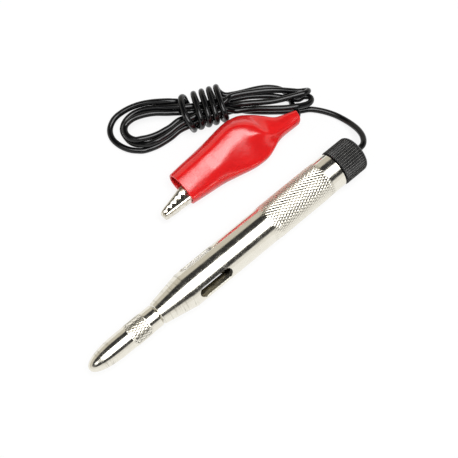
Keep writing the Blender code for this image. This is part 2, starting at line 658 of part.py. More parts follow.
def make_terminal():
    start = CONTACT_REAR + FIT_GAP + SPRING_WIRE_RADIUS
    end = TERMINAL_FLANGE_FRONT - FIT_GAP - SPRING_WIRE_RADIUS
    per_turn = 10
    points = []
    for step in range(SPRING_TURNS * per_turn + 1):
        share = step / (SPRING_TURNS * per_turn)
        angle = 2 * math.pi * step / per_turn
        radius = SPRING_FRONT_RADIUS + (SPRING_REAR_RADIUS - SPRING_FRONT_RADIUS) * share
        points.append((radius * math.cos(angle), radius * math.sin(angle), start + (end - start) * share))
    wire("contact_spring", points, SPRING_WIRE_RADIUS, PEN_AXIS, "steel")
    boss_radius = SPRING_REAR_RADIUS - SPRING_WIRE_RADIUS - 2 * FIT_GAP
    turned("wire_terminal", [
        (CUP_REAR, CUP_BORE_RADIUS), (CUP_REAR, CUP_RADIUS),
        (TERMINAL_FLANGE_REAR, CUP_RADIUS), (TERMINAL_FLANGE_REAR, TERMINAL_FLANGE_RADIUS),
        (TERMINAL_FLANGE_FRONT, TERMINAL_FLANGE_RADIUS), (TERMINAL_FLANGE_FRONT, boss_radius),
        (TERMINAL_FLANGE_FRONT - TERMINAL_BOSS_LENGTH, boss_radius),
        (TERMINAL_FLANGE_FRONT - TERMINAL_BOSS_LENGTH, 0),
        (TERMINAL_FLANGE_REAR + FIT_GAP, 0), (TERMINAL_FLANGE_REAR + FIT_GAP, CUP_BORE_RADIUS),
    ], PEN_AXIS, "brass")


def make_end_cap():
    edge = []
    for step in range(4):
        angle = math.radians(90) * step / 3
        edge.append((PEN_REAR - END_CAP_EDGE_RADIUS * (1 - math.cos(angle)),
                     END_CAP_RADIUS - END_CAP_EDGE_RADIUS * (1 - math.sin(angle))))
    cap = turned("end_cap", [
        (PEN_REAR, 0), *edge,
        (END_CAP_FRONT, END_CAP_RADIUS), (END_CAP_FRONT, PLUG_RADIUS),
        (PLUG_FRONT, PLUG_RADIUS), (PLUG_FRONT, 0),
    ], END_CAP_AXIS, "black plastic", steps=2 * RIB_COUNT)
    cap = as_mesh_object(cap)
    rib_top = PEN_REAR - END_CAP_EDGE_RADIUS / 4
    for corner in cap.data.vertices:
        column = round(math.atan2(corner.co.y, corner.co.x) / (math.pi / RIB_COUNT))
        on_side = corner.co.xy.length > PLUG_RADIUS + MERGE and corner.co.z < rib_top
        if on_side and column % 2:
            corner.co.xy = corner.co.xy.normalized() * (corner.co.xy.length - RIB_DEPTH)
    hole = turned("end_cap_hole", [
        (PEN_REAR + FIT_GAP, 0),
        (PEN_REAR + FIT_GAP, CORD_HOLE_RADIUS),
        (CUP_REAR + FIT_GAP, CORD_HOLE_RADIUS),
        (CUP_REAR + FIT_GAP, CUP_RADIUS + FIT_GAP),
        (PLUG_FRONT - FIT_GAP, CUP_RADIUS + FIT_GAP),
        (PLUG_FRONT - FIT_GAP, 0),
    ], END_CAP_AXIS, None)
    cut(cap, hole)
    smooth_rounds(cap.data)


def between(table, place):
    """Reads a table of (place, value) pairs, straight between its rows."""
    if place <= table[0][0]:
        return table[0][1]
    for (low, first), (high, second) in zip(table, table[1:]):
        if place <= high:
            return first + (second - first) * (place - low) / (high - low)
    return table[-1][1]


def jaw_stations():
    """Places along a jaw, with the tooth row's tips and valleys half a pitch apart."""
    teeth = []
    count = round((TOOTH_ROW_END - TOOTH_ROW_START) / (TOOTH_PITCH / 2))
    for index in range(count + 1):
        teeth.append((TOOTH_ROW_START + index * TOOTH_PITCH / 2, 1 if index % 2 else -1))
    front = [(-JAW_FRONT, 0), ((-JAW_FRONT + TOOTH_ROW_START) / 2, 0)]
    ear = EAR_HALF_LENGTH
    middle = [(TOOTH_ROW_END / 2 - ear / 2, 0), (-ear * 1.5, 0), (-ear, 0), (0, 0), (ear, 0), (ear * 1.5, 0)]
    tail_start = ear * 2.5
    tail = [(tail_start + (JAW_REAR - tail_start) * share, 0) for share in (0, 0.2, 0.4, 0.6, 0.8, 0.94, 1)]
    return front + teeth + middle + tail


def make_jaw(name, side, ear_half_width):
    """A jaw folded from sheet: a back, two walls with teeth, ears at the rivet and a tail.

    The jaw on side 1 has its back on the clip's left, and its tooth tips meet the other's valleys.
    """
    half_widths = [(-JAW_FRONT, TIP_HALF_WIDTH * TIP_END_SHARE),
                   (-JAW_FRONT + SHEET, TIP_HALF_WIDTH * TIP_SHOULDER_SHARE),
                   (-JAW_FRONT + 2 * SHEET, TIP_HALF_WIDTH), (-1.5 * EAR_HALF_LENGTH, ear_half_width),
                   (1.5 * EAR_HALF_LENGTH, ear_half_width), (4 * EAR_HALF_LENGTH, TAIL_HALF_WIDTH),
                   (JAW_REAR - 2 * SHEET, TAIL_HALF_WIDTH), (JAW_REAR, TAIL_HALF_WIDTH * HEAD_TAPER)]
    shape = bmesh.new()
    rows = []
    for place, tooth in jaw_stations():
        back = between(JAW_SPREAD, place)
        width = between(half_widths, place)
        if abs(place) <= EAR_HALF_LENGTH:
            edge = -EAR_REACH
        elif place > EAR_HALF_LENGTH:
            edge = back - TAIL_WALL
        elif tooth:
            edge = (FIT_GAP + side * tooth * TOOTH_DEPTH) / 2
        else:
            edge = FIT_GAP / 2
        bend = min(JAW_BEND_RADIUS, 0.45 * (back - edge), 0.45 * width)
        corner = bend * (1 - math.cos(math.radians(45)))
        half = [(edge, width), (back - bend, width), (back - corner, width - corner), (back, width - bend)]
        section = half + [(y, -z) for y, z in reversed(half)]
        rows.append([shape.verts.new((place, side * y, z)) for y, z in section])
    for first, second in zip(rows, rows[1:]):
        for index in range(len(first) - 1):
            corners = (first[index], second[index], second[index + 1], first[index + 1])
            shape.faces.new(corners if side > 0 else corners[::-1])
    mesh = bpy.data.meshes.new(name)
    shape.to_mesh(mesh)
    shape.free()
    jaw = add_object(name, mesh, CLIP_AXIS, "nickel")
    sheet = jaw.modifiers.new("sheet", "SOLIDIFY")
    sheet.thickness = SHEET
    sheet.offset = -1
    sheet.use_even_offset = True
    rivet_hole = turned(name + "_rivet_hole", [
        (2 * OUTER_HALF_WIDTH, 0), (2 * OUTER_HALF_WIDTH, RIVET_RADIUS + FIT_GAP),
        (-2 * OUTER_HALF_WIDTH, RIVET_RADIUS + FIT_GAP), (-2 * OUTER_HALF_WIDTH, 0),
    ], CLIP_AXIS, None, steps=16)
    cut(jaw, rivet_hole)
    smooth_rounds(mesh)
    return jaw


def make_clip():
    make_jaw("moving_jaw", 1, OUTER_HALF_WIDTH)
    fixed = make_jaw("fixed_jaw", -1, INNER_HALF_WIDTH)
    top = OUTER_HALF_WIDTH + FIT_GAP
    end = top + RIVET_HEAD_LENGTH
    turned("clip_rivet", [
        (end, 0), (end, RIVET_HEAD_RADIUS * HEAD_TAPER), (top, RIVET_HEAD_RADIUS), (top, RIVET_RADIUS),
        (-top, RIVET_RADIUS), (-top, RIVET_HEAD_RADIUS), (-end, RIVET_HEAD_RADIUS * HEAD_TAPER), (-end, 0),
    ], CLIP_AXIS, "nickel", steps=16)

    pitch = 2 * CLIP_SPRING_WIRE_RADIUS + FIT_GAP
    leg_side = between(JAW_SPREAD, CLIP_SPRING_LEG) - SHEET - FIT_GAP - CLIP_SPRING_WIRE_RADIUS
    lean = math.atan2(leg_side - CLIP_SPRING_RADIUS, CLIP_SPRING_LEG)
    start_angle = -math.pi / 2 - lean
    sweep = -(math.pi - 2 * lean) - 2 * math.pi * CLIP_SPRING_TURNS
    steps = 12 * (CLIP_SPRING_TURNS + 1)
    height = pitch * abs(sweep) / (2 * math.pi)
    coil = []
    for step in range(steps + 1):
        angle = start_angle + sweep * step / steps
        coil.append((CLIP_SPRING_RADIUS * math.cos(angle), CLIP_SPRING_RADIUS * math.sin(angle),
                     height * (step / steps - 0.5)))
    wire("clip_spring", [(CLIP_SPRING_LEG, -leg_side, -height / 2), *coil,
                         (CLIP_SPRING_LEG, leg_side, height / 2)],
         CLIP_SPRING_WIRE_RADIUS, CLIP_AXIS, "steel")

    tail_back = between(JAW_SPREAD, SCREW_PLACE)
    strands_top = abs(STRANDS_ROUTE[-1][1]) - STRANDS_RADIUS
    head_under = strands_top - FIT_GAP
    screw_axis = add_empty("screw_axis", (SCREW_PLACE, 0, 0), (math.radians(90), 0, 0))
    screw_axis.parent = CLIP_AXIS
    screw = turned("clip_screw", [
        (head_under + SCREW_LENGTH, 0), (head_under + SCREW_LENGTH, SCREW_RADIUS),
        (head_under, SCREW_RADIUS), (head_under, SCREW_HEAD_RADIUS),
        (head_under - SCREW_HEAD_LENGTH, SCREW_HEAD_RADIUS), (head_under - SCREW_HEAD_LENGTH, 0),
    ], screw_axis, "steel", steps=16)
    bpy.ops.mesh.primitive_cube_add(size=1)
    slot = bpy.context.object
    slot.name = "screw_slot"
    slot.parent = screw_axis
    slot.location = (0, 0, head_under - SCREW_HEAD_LENGTH)
    slot.scale = (SCREW_SLOT, 3 * SCREW_HEAD_RADIUS, 2 * SCREW_SLOT)
    for collection in list(slot.users_collection):
        collection.objects.unlink(slot)
    CUTTERS.objects.link(slot)
    slot.hide_render = True
    slot.display_type = "WIRE"
    cut(screw, slot)
    hole = turned("screw_hole", [
        (tail_back + SHEET, 0), (tail_back + SHEET, SCREW_RADIUS + FIT_GAP),
        (tail_back - 2 * SHEET, SCREW_RADIUS + FIT_GAP), (tail_back - 2 * SHEET, 0),
    ], screw_axis, None, steps=16)
    cut(fixed, hole)


def make_boot():
    """The soft sleeve over the clip: one skin through its sections, open at the mouth and at the neck."""
    shape = bmesh.new()
    rings = []
    for place, left, right, half_height in BOOT_SECTIONS:
        middle, half_width = (left + right) / 2, (left - right) / 2
        ring = []
        for index in range(BOOT_SIDES):
            angle = 2 * math.pi * index / BOOT_SIDES
            across, up = math.cos(angle), math.sin(angle)
            total = abs(across) ** BOOT_SQUARENESS + abs(up) ** BOOT_SQUARENESS
            reach = total ** (-1 / BOOT_SQUARENESS)
            corner = (place, middle + half_width * across * reach, half_height * up * reach)
            ring.append(shape.verts.new(corner))
        rings.append(ring)
    for first, second in zip(rings, rings[1:]):
        for index in range(BOOT_SIDES):
            after = (index + 1) % BOOT_SIDES
            shape.faces.new((first[index], first[after], second[after], second[index]))
    mesh = bpy.data.meshes.new("clip_boot")
    shape.to_mesh(mesh)
    shape.free()
    boot = add_object("clip_boot", mesh, CLIP_AXIS, "red vinyl")
    skin = boot.modifiers.new("skin", "SOLIDIFY")
    skin.thickness = BOOT_SKIN
    skin.offset = -1
    skin.use_even_offset = True
    smooth_rounds(mesh)


def make_cord():
    exit_x = PEN_REAR + FIT_GAP
    inside = [Vector((place, 0, AXIS_HEIGHT)) for place in (CORD_START, (CORD_START + exit_x) / 2)]
    outside = smooth_route([(exit_x, 0, AXIS_HEIGHT), *LEAD_ROUTE], CORD_POINT_SPACING)
    wire("lead_cord", [*inside, *outside], CORD_RADIUS, None, "cord jacket")

    bpy.context.view_layer.update()
    in_boot = [CLIP_AXIS.matrix_world @ Vector(point) for point in TAIL_IN_BOOT]
    tail = smooth_route([*in_boot, TAIL_END], CORD_POINT_SPACING)
    wire("tail_cord", tail, CORD_RADIUS, None, "cord jacket")
    wire("wire_strands", STRANDS_ROUTE, STRANDS_RADIUS, CLIP_AXIS, "copper")

    outlines = [closed_smooth(HANK_OUTLINE, 3 * MM), closed_smooth(LOOP_HOLE, 3 * MM)]
    hank = plate("cord_hank", outlines, HANK_HEIGHT, None, "cord jacket")
    hank.location.z = HANK_HEIGHT / 2
    ring = plate("hank_tie", [round_ended(2 * TIE_HALF_WIDTH, TIE_HEIGHT)], TIE_LENGTH, None, None)
    ring.location = (*TIE_CENTRE, TIE_HEIGHT / 2)
    ring.rotation_euler = (math.radians(90), 0, TIE_ANGLE)
    cut(hank, ring, "UNION")


def main():
    make_tip_cap()
    make_barrel()
    make_needle()
    make_bulb()
    make_terminal()
    make_end_cap()
    make_clip()
    make_boot()
    make_cord()


main()
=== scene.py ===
"""Looks for the circuit test light: its finishes, knurls, soft boot and cord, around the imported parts.

The pen lies along X with its needle end at -X. The clip and the wound cord lie on the table beside it.
Lengths are in metres, and MM turns millimetres into metres.
"""
import math

import bmesh
import bpy
import numpy as np
from mathutils import Matrix, Vector


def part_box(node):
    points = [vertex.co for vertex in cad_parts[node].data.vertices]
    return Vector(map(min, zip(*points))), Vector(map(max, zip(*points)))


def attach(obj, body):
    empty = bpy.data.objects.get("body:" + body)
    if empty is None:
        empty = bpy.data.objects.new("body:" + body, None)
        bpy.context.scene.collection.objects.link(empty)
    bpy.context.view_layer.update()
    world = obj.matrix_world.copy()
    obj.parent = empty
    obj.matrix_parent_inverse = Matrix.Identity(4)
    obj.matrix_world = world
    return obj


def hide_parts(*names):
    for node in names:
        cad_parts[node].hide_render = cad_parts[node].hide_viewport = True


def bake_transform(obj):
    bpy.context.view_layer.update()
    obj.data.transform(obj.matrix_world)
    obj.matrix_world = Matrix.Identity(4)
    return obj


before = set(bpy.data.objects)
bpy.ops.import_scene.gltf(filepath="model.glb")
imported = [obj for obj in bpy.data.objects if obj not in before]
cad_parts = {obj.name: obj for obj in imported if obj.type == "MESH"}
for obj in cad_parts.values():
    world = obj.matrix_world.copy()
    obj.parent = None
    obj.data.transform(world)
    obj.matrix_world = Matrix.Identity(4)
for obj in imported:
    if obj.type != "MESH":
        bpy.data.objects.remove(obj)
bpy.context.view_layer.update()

MM = 0.001


def metres(rows):
    """A table of millimetres, in metres."""
    return [tuple(value * MM for value in row) for row in rows]


# The camera stands where the photograph was taken from.
PHOTO_PIXELS = 458
FOCAL_PIXELS = 1000
SENSOR_WIDTH = 36.0
CAMERA_TARGET = Vector((5.7 * MM, 6.6 * MM, 6.2 * MM))
CAMERA_DISTANCE = 312 * MM
CAMERA_NEAR = 10 * MM
CAMERA_AZIMUTH = math.radians(-41)
CAMERA_ELEVATION = math.radians(68.9)

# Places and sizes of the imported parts.
CAP_LOW, CAP_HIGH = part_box("tip_cap")
BARREL_LOW, BARREL_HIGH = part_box("barrel")
END_LOW, END_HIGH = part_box("end_cap")
NEEDLE_LOW, NEEDLE_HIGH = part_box("probe_needle")
AXIS_HEIGHT = (END_LOW.z + END_HIGH.z) / 2
TIP_X = CAP_LOW.x
TIP_CAP_REAR = CAP_HIGH.x
SPIGOT_FRONT = BARREL_LOW.x
BARREL_REAR = BARREL_HIGH.x
PLUG_FRONT = END_LOW.x
PEN_REAR = END_HIGH.x

FIT_GAP = 0.3 * MM
BARREL_FRONT = TIP_CAP_REAR + FIT_GAP
END_CAP_FRONT = BARREL_REAR + FIT_GAP

# Points closer than this are one point.
TOUCHING = 0.001 * MM

# The turned pieces' materials, by number after plain nickel. A face that leans in by more than FACING is
# bored, and one that leans out by more is outside.
KNURLED_FACES, BORED_FACES, MILLED_FACES = 1, 2, 3
FACING = 0.5

KNURL_CREST = 0.1 * MM
BARREL_KNURL_DEPTH = 0.12 * MM
CAP_KNURL_DEPTH = 0.19 * MM
GROOVE_SPACING = 1.81 * MM
KNURL_STEPS = 8
KNURL_FLATNESS = 5
KNURL_RISE_STEPS = 16
KNURL_RISE_PART = 5
KNURL_RUN_OUT_STEPS = 6
BARREL_KNURL_LENGTH = 25.3 * MM
BARREL_KNURL_SETBACK = 4.8 * MM
BARREL_KNURL_STARTS = 36
CAP_KNURL_LENGTH = 7.24 * MM
CAP_KNURL_SETBACK = 3.6 * MM
CAP_KNURL_STARTS = 24
BARREL_KNURL_REAR = BARREL_REAR - BARREL_KNURL_SETBACK
BARREL_KNURL = (BARREL_KNURL_REAR - BARREL_KNURL_LENGTH, BARREL_KNURL_REAR)
CAP_KNURL_REAR = TIP_CAP_REAR - CAP_KNURL_SETBACK
CAP_KNURL = (CAP_KNURL_REAR - CAP_KNURL_LENGTH, CAP_KNURL_REAR)

BARREL_RADIUS = BARREL_HIGH.y - KNURL_CREST
BARREL_WALL = 1.1 * MM
WINDOW_WALL = 1.5 * MM
BARREL_BORE_RADIUS = BARREL_RADIUS - BARREL_WALL
WINDOW_BORE_RADIUS = BARREL_RADIUS - WINDOW_WALL
EDGE_CHAMFER = 0.25 * MM
CONE_LENGTH = 11.7 * MM
CONE_FRONT_RADIUS = 3.85 * MM
CONE_REAR = BARREL_FRONT + CONE_LENGTH
CONE_ROWS = 8
CONE_BLEND = 1.2 * MM
CONE_BLEND_ROWS = 4
CONE_BLEND_FULLNESS = 1.6
SPIGOT_RADIUS = 2.3 * MM
THREAD_PITCH = 0.7 * MM
THREAD_DEPTH = 0.2 * MM
THREAD_STEPS = 6
NOSE_BORE_REAR = SPIGOT_FRONT + 11.0 * MM

WINDOW_COUNT = 3
WINDOW_LENGTH = 12.4 * MM
WINDOW_WIDTH = 3.8 * MM
WINDOW_FRONT = CONE_REAR + 1.6 * MM
WINDOW_REAR = WINDOW_FRONT + WINDOW_LENGTH
WINDOW_CHAMFER = 0.15 * MM
WINDOW_INSIDE = 0.6 * MM
WINDOW_OUTSIDE = 0.4 * MM
WINDOW_END_STEPS = 16
WINDOW_MARGIN = 1.0 * MM
LEDGE_X = WINDOW_REAR + 1.5 * MM

TIP_CAP_RADIUS = CAP_HIGH.y - KNURL_CREST
NOSE_BLUNTING = 0.25 * MM
NOSE_LENGTH = 12.0 * MM
NOSE_WALL = 1.4 * MM
NOSE_FULLNESS = 2.3
NOSE_ROWS = 40

NEEDLE_RADIUS = 1.0 * MM
NEEDLE_POINT_LENGTH = 5.0 * MM
NEEDLE_POINT_RADIUS = 0.12 * MM
NEEDLE_TIP_ROWS = (0.04 * MM, 0.15 * MM)
NEEDLE_TIP_SHARE = 0.7
NEEDLE_HEAD_RADIUS = NEEDLE_HIGH.y
NEEDLE_HEAD_LENGTH = 1.5 * MM
NEEDLE_EDGE = 0.1 * MM
NEEDLE_SIDES = 64
NEEDLE_BORE_RADIUS = NEEDLE_RADIUS + FIT_GAP

END_CAP_RADIUS = END_HIGH.y
END_CAP_RIM = 0.2 * MM
END_CAP_EDGE_RADIUS = 1.7 * MM
END_CAP_SIDE_ROWS = 4
END_CAP_EDGE_ROWS = 12
RIB_COUNT = 44
RIB_STEPS = 12
RIB_DEPTH = 0.28 * MM
RIB_SHARPNESS = 1.6
RIB_FADE_ROWS = 10
PLUG_RADIUS = BARREL_BORE_RADIUS - FIT_GAP

CORD_RADIUS = 1.0 * MM
CORD_HOLE_RADIUS = CORD_RADIUS + FIT_GAP
CORD_HOLE_CHAMFER = 0.3 * MM
CUP_RADIUS = CORD_RADIUS + FIT_GAP + 0.4 * MM
CUP_REAR = PLUG_FRONT + 4.7 * MM

# The clip lies on the table with its hinge upright here, turned a little about it.
CLIP_PLACE = Vector((12.1 * MM, 25.74 * MM, 4.6 * MM))
CLIP_TURN = math.radians(6)
CLIP_AXES = Matrix.Translation(CLIP_PLACE) @ Matrix.Rotation(CLIP_TURN, 4, "Z")

SHEET = 0.6 * MM
JAW_BEND_RADIUS = 1.0 * MM
JAW_BEND_STEPS = 6
JAW_LEAN = math.tan(math.radians(10))
JAW_FRONT = 19.0 * MM
JAW_REAR = 21.0 * MM
TAIL_WALL = 2.2 * MM
EAR_REACH = 1.7 * MM
EAR_HALF_LENGTH = 2.0 * MM
EAR_SHOULDER = 1.5 * EAR_HALF_LENGTH
TAIL_FRONT = 2.5 * EAR_HALF_LENGTH
TAIL_NARROW_FROM = 4 * EAR_HALF_LENGTH
TOOTH_PITCH = 2.0 * MM
TOOTH_DEPTH = 1.0 * MM
TOOTH_ROW_START = -17.5 * MM
TOOTH_ROW_END = -6.5 * MM
OUTER_HALF_WIDTH = 2.9 * MM
INNER_HALF_WIDTH = OUTER_HALF_WIDTH - SHEET - FIT_GAP
TIP_HALF_WIDTH = 1.9 * MM
TAIL_HALF_WIDTH = 2.5 * MM
NOSE_ROUNDING = 0.9 * MM
NOSE_SOLID = 1.2 * MM
NOSE_STATIONS = (0, 0.08, 0.22, 0.42, 0.68, 1)
NOSE_END_SHARE = 0.35
BEND_HEIGHT_SHARE = 0.55
BEND_WIDTH_SHARE = 0.45
SHEET_BEND_SHARE = 0.9
TAIL_STEPS = 12
RIVET_HOLE_RADIUS = 1.4 * MM
SCREW_PLACE = 16.0 * MM
SCREW_HOLE_RADIUS = 1.1 * MM
RIVET_CUT = 5.0 * MM
SCREW_CUT = (-4.0 * MM, -9.0 * MM)
RIVET_EDGE = 0.08 * MM

SPRING_WIRE_RADIUS = 0.25 * MM
SPRING_RADIUS = 1.9 * MM
SPRING_TURNS = 2
SPRING_LEG = 11.0 * MM
SPRING_STEPS = 72

# Half the spread between the jaws' backs, at places along the clip.
JAW_SPREAD = metres([
    (-19, 1.15), (-16, 1.75), (-8.7, 2.75), (0, 4), (6, 5), (12, 6.1), (16, 6.5), (19, 6.3), (21, 5.8),
])

# The boot's sections: place along the clip, left side, right side and half height, in the clip's axes.
BOOT_SKIN = 0.7 * MM
BOOT_SECTIONS = metres([
    (-8.6, 8.25, -3.6, 4.1), (-3, 8.2, -4.75, 4.5), (3, 8, -6, 4.6), (8, 8, -7.65, 4.6),
    (13, 8.15, -9.4, 4.6), (17, 8.1, -10.2, 4.6), (20, 7.55, -10.25, 4.5), (23, 6.4, -9.6, 4.2),
    (25.5, 4.2, -8.9, 3.8), (28, 0.8, -8.7, 3.3), (30, -2.1, -8.8, 2.8), (32.5, -3.6, -9, 2.4),
    (36.3, -5.35, -9.45, 2.05),
])
# The boot's top, by places along it: its crest, the foot of the slope beside it and the knee of the steeper
# slope on its right. Crest and foot are a side and a height over the hinge's middle, the knee is a height.
BOOT_TOPS = metres([
    (-8.6, 3.6, 4.5, -0.4, 3.7, 2.2), (-3, 3.2, 5, -0.7, 4.2, 2.3), (0, 2.9, 5.3, -1.4, 4.4, 2.4),
    (3, 2.7, 5.6, -2.2, 4.6, 2.4), (7.5, 2.5, 6, -2, 5.1, 2.2), (12, 2.6, 6.4, -1.1, 5.7, 1.9),
    (15.5, 2.5, 6.6, -1.5, 5.8, 1.9), (19, 0.6, 6.5, -3.4, 5.7, 1.6), (22, -2, 5.8, -5, 5.1, 1.9),
    (24.5, -3.8, 4.5, -6, 3.9, 1.7), (28, -4.6, 3.5, -6.8, 2.7, 1.3),
])
BOOT_TOP_FADE = (22.0 * MM, 28.0 * MM)
BOOT_UPRIGHT_SHARE = 0.35
BOOT_SHOULDER_IN = 0.4
BOOT_SHOULDER_UP = 0.8
BOOT_CREST_SHARE = 0.25
BOOT_KNEE_SHARE = 0.83
BOOT_BOW = 0.12 * MM
BOOT_ROUNDING = 4
MOUTH_SKEW = 0.085
MOUTH_SKEW_FADE = (-8.6 * MM, -1.0 * MM)
NECK_SKEW = 0.33
NECK_TILT = 0.3
NECK_SKEW_FADE = (27.0 * MM, 35.5 * MM)
CREASE_PLACES = (3.2 * MM, 4.6 * MM)
CREASE_WIDTH = 0.25 * MM
CREASE_DEPTH = 0.035 * MM
CREASE_FADE = (1.0 * MM, 3.5 * MM)
BOOT_BLEND_TURN = math.radians(8.5)
BOOT_BLEND_REACH = (-2.0 * MM, 3.5 * MM)
BOOT_SIDES = 96
BOOT_STATION_SPACING = 0.55 * MM
BOOT_SQUARENESS = 2.7
BOOT_RIM_STEPS = 6

# The cord's route in millimetres: where it leaves the pen, and each pass of the wound hank.
LEAD_ROUTE = [
    (39.2, 0, 6.2), (47, 0, 6.2), (55.3, 0, 6.2), (57.6, 0.4, 6.1), (59.6, 2.3, 5.3), (60.9, 5.2, 4.0),
    (61.4, 8.5, 2.6), (61.2, 12.0, 1.5), (60.3, 15.3, 1.1), (58.8, 18.3, 1.02), (56.6, 21.4, 1.02),
    (55.0, 23.0, 1.02), (51.8, 24.9, 1.05), (47.8, 28.2, 1.05), (43.5, 31.8, 1.05), (39.3, 35.6, 1.3),
    (36.4, 38.2, 2.2),
]
FIRST_LEFT_LOOP = [
    (32.7, 39.2, 3.1), (27.4, 42.1, 3.1), (22.3, 45.5, 3.1), (19.3, 46.5, 3.6), (14.6, 46.3, 3.4),
    (10.4, 46.9, 3.2), (6.7, 48.1, 3.2), (3.7, 50.2, 3.1), (2.7, 52.7, 3.1), (3.0, 55.1, 3.1),
    (4.6, 57.0, 3.2), (7.7, 57.3, 3.8), (11.3, 56.3, 4.0), (14.9, 54.5, 4.0), (18.5, 51.7, 4.0),
    (21.3, 49.3, 4.0), (23.2, 47.6, 3.1), (28.5, 44.7, 3.1), (33.5, 41.2, 3.1),
]
FIRST_RIGHT_FOLD = [
    (35.4, 39.2, 4.0), (37.4, 37.6, 4.8), (40.2, 35.7, 5.0), (42.8, 33.8, 5.1), (45.5, 31.9, 5.2),
    (48.4, 30.2, 5.3), (51.6, 28.7, 5.3), (54.4, 27.4, 5.3), (56.3, 26.6, 5.2), (57.7, 26.6, 4.6),
    (58.1, 27.2, 3.6), (57.5, 28.2, 2.9), (56.0, 29.3, 2.9), (54.1, 30.9, 3.5), (51.2, 33.2, 4.4),
    (48.5, 35.2, 4.9), (45.8, 37.1, 5.0), (43.0, 38.9, 5.0), (40.1, 40.6, 5.0), (36.9, 42.0, 5.0),
]
SECOND_LEFT_LOOP = [
    (33.7, 41.7, 5.1), (27.9, 43.2, 5.0), (21.9, 44.5, 4.9), (17.7, 45.4, 4.4), (13.5, 45.8, 3.4),
    (9.0, 46.5, 3.2), (5.3, 48.4, 2.4), (2.9, 51.8, 1.1), (2.7, 55.1, 1.1), (3.5, 57.6, 1.2),
    (5.7, 59.2, 1.6), (8.9, 59.5, 2.4), (11.9, 58.6, 3.0), (15.1, 56.6, 3.6), (18.2, 54.0, 4.2),
    (21.7, 50.2, 5.0), (23.6, 48.6, 4.9), (28.9, 45.6, 4.6), (34.3, 43.2, 4.2),
]
SECOND_RIGHT_FOLD = [
    (36.8, 41.8, 3.2), (39.8, 40.3, 3.1), (42.7, 38.5, 3.1), (45.3, 36.4, 3.1), (47.7, 34.2, 3.1),
    (49.9, 31.6, 3.0), (51.9, 28.9, 2.9), (54.1, 27.1, 2.8), (56.0, 26.9, 2.8), (57.3, 26.1, 2.9),
    (57.5, 24.9, 3.1), (56.7, 23.9, 3.4), (55.2, 23.6, 3.8), (53.4, 24.0, 4.3), (50.9, 25.0, 4.9),
    (47.8, 27.0, 5.1), (44.0, 30.2, 5.1), (41.2, 32.9, 4.8), (38.3, 35.5, 4.2), (35.1, 37.9, 4.0),
]
THIRD_LEFT_LOOP = [
    (32.9, 39.5, 5.1), (27.1, 41.4, 4.2), (21.5, 43.4, 3.1), (17.0, 44.7, 3.0), (12.8, 45.0, 2.5),
    (8.4, 45.9, 1.8), (4.6, 47.6, 1.3), (1.3, 50.3, 1.1), (-0.6, 53.8, 1.1), (-1.0, 57.4, 1.1),
    (0.4, 60.4, 1.1), (3.7, 62.2, 1.6), (7.8, 61.8, 2.6), (12.1, 60.1, 3.4), (15.9, 57.5, 4.0),
    (18.8, 54.7, 4.6), (21.3, 52.7, 4.7), (23.0, 51.7, 4.0), (23.5, 50.9, 2.8), (22.9, 49.4, 1.5),
    (22.1, 47.1, 1.0), (21.5, 44.1, 1.0), (21.15, 42.2, 1.5),
]
TAIL_ROUTE = [
    (36.4, 46.9, 2.2), (37.4, 45.2, 1.2), (39.9, 43.5, 1.2), (42.9, 41.9, 1.3), (45.8, 40.5, 1.4),
    (47.9, 39.3, 1.5), (49.8, 38.0, 1.5), (52.0, 35.8, 1.4), (53.3, 33.5, 1.2), (53.4, 31.1, 1.05),
    (52.6, 28.9, 1.3), (51.6, 27.2, 2.3), (50.9, 25.4, 3.2), (50.5, 23.9, 3.3), (49.8, 22.9, 3.6),
    (48.4, 22.4, 4.2), (46.0, 22.4, 4.6), (42.6, 22.9, 4.6), (38.5, 23.1, 4.6), (34.9, 23.2, 4.6),
]

# The turns round the hank's middle, in millimetres: where along it each turn has its upper and lower side,
# and how far it bows out between them.
WRAP_CENTRE = Vector((28.4, 44.5, 4.4))
WRAP_ALONG = Vector((0.926, -0.378, 0))
WRAP_ACROSS = Vector((0.378, 0.926, 0))
WRAP_TOPS = [-5.65, -2.15, 0.6, 3.3, 5.75]
WRAP_BOTTOMS = [-5.75, -3.0, -0.4, 2.1, 5.3]
WRAP_LEANS = [-1.9, -0.4, -0.35, -0.5, -0.7]
WRAP_HALF_WIDTH = 5.75
WRAP_HALF_HEIGHT = 3.4
WRAP_SQUARENESS = 2.6
WRAP_STEPS = 24
CORD_STEP = 1.0
CORD_FINE_STEP = 0.5
ROUTE_SAMPLES = 24
HELD_AT_PEN = 31.0
HELD_AT_CLIP = 18.0


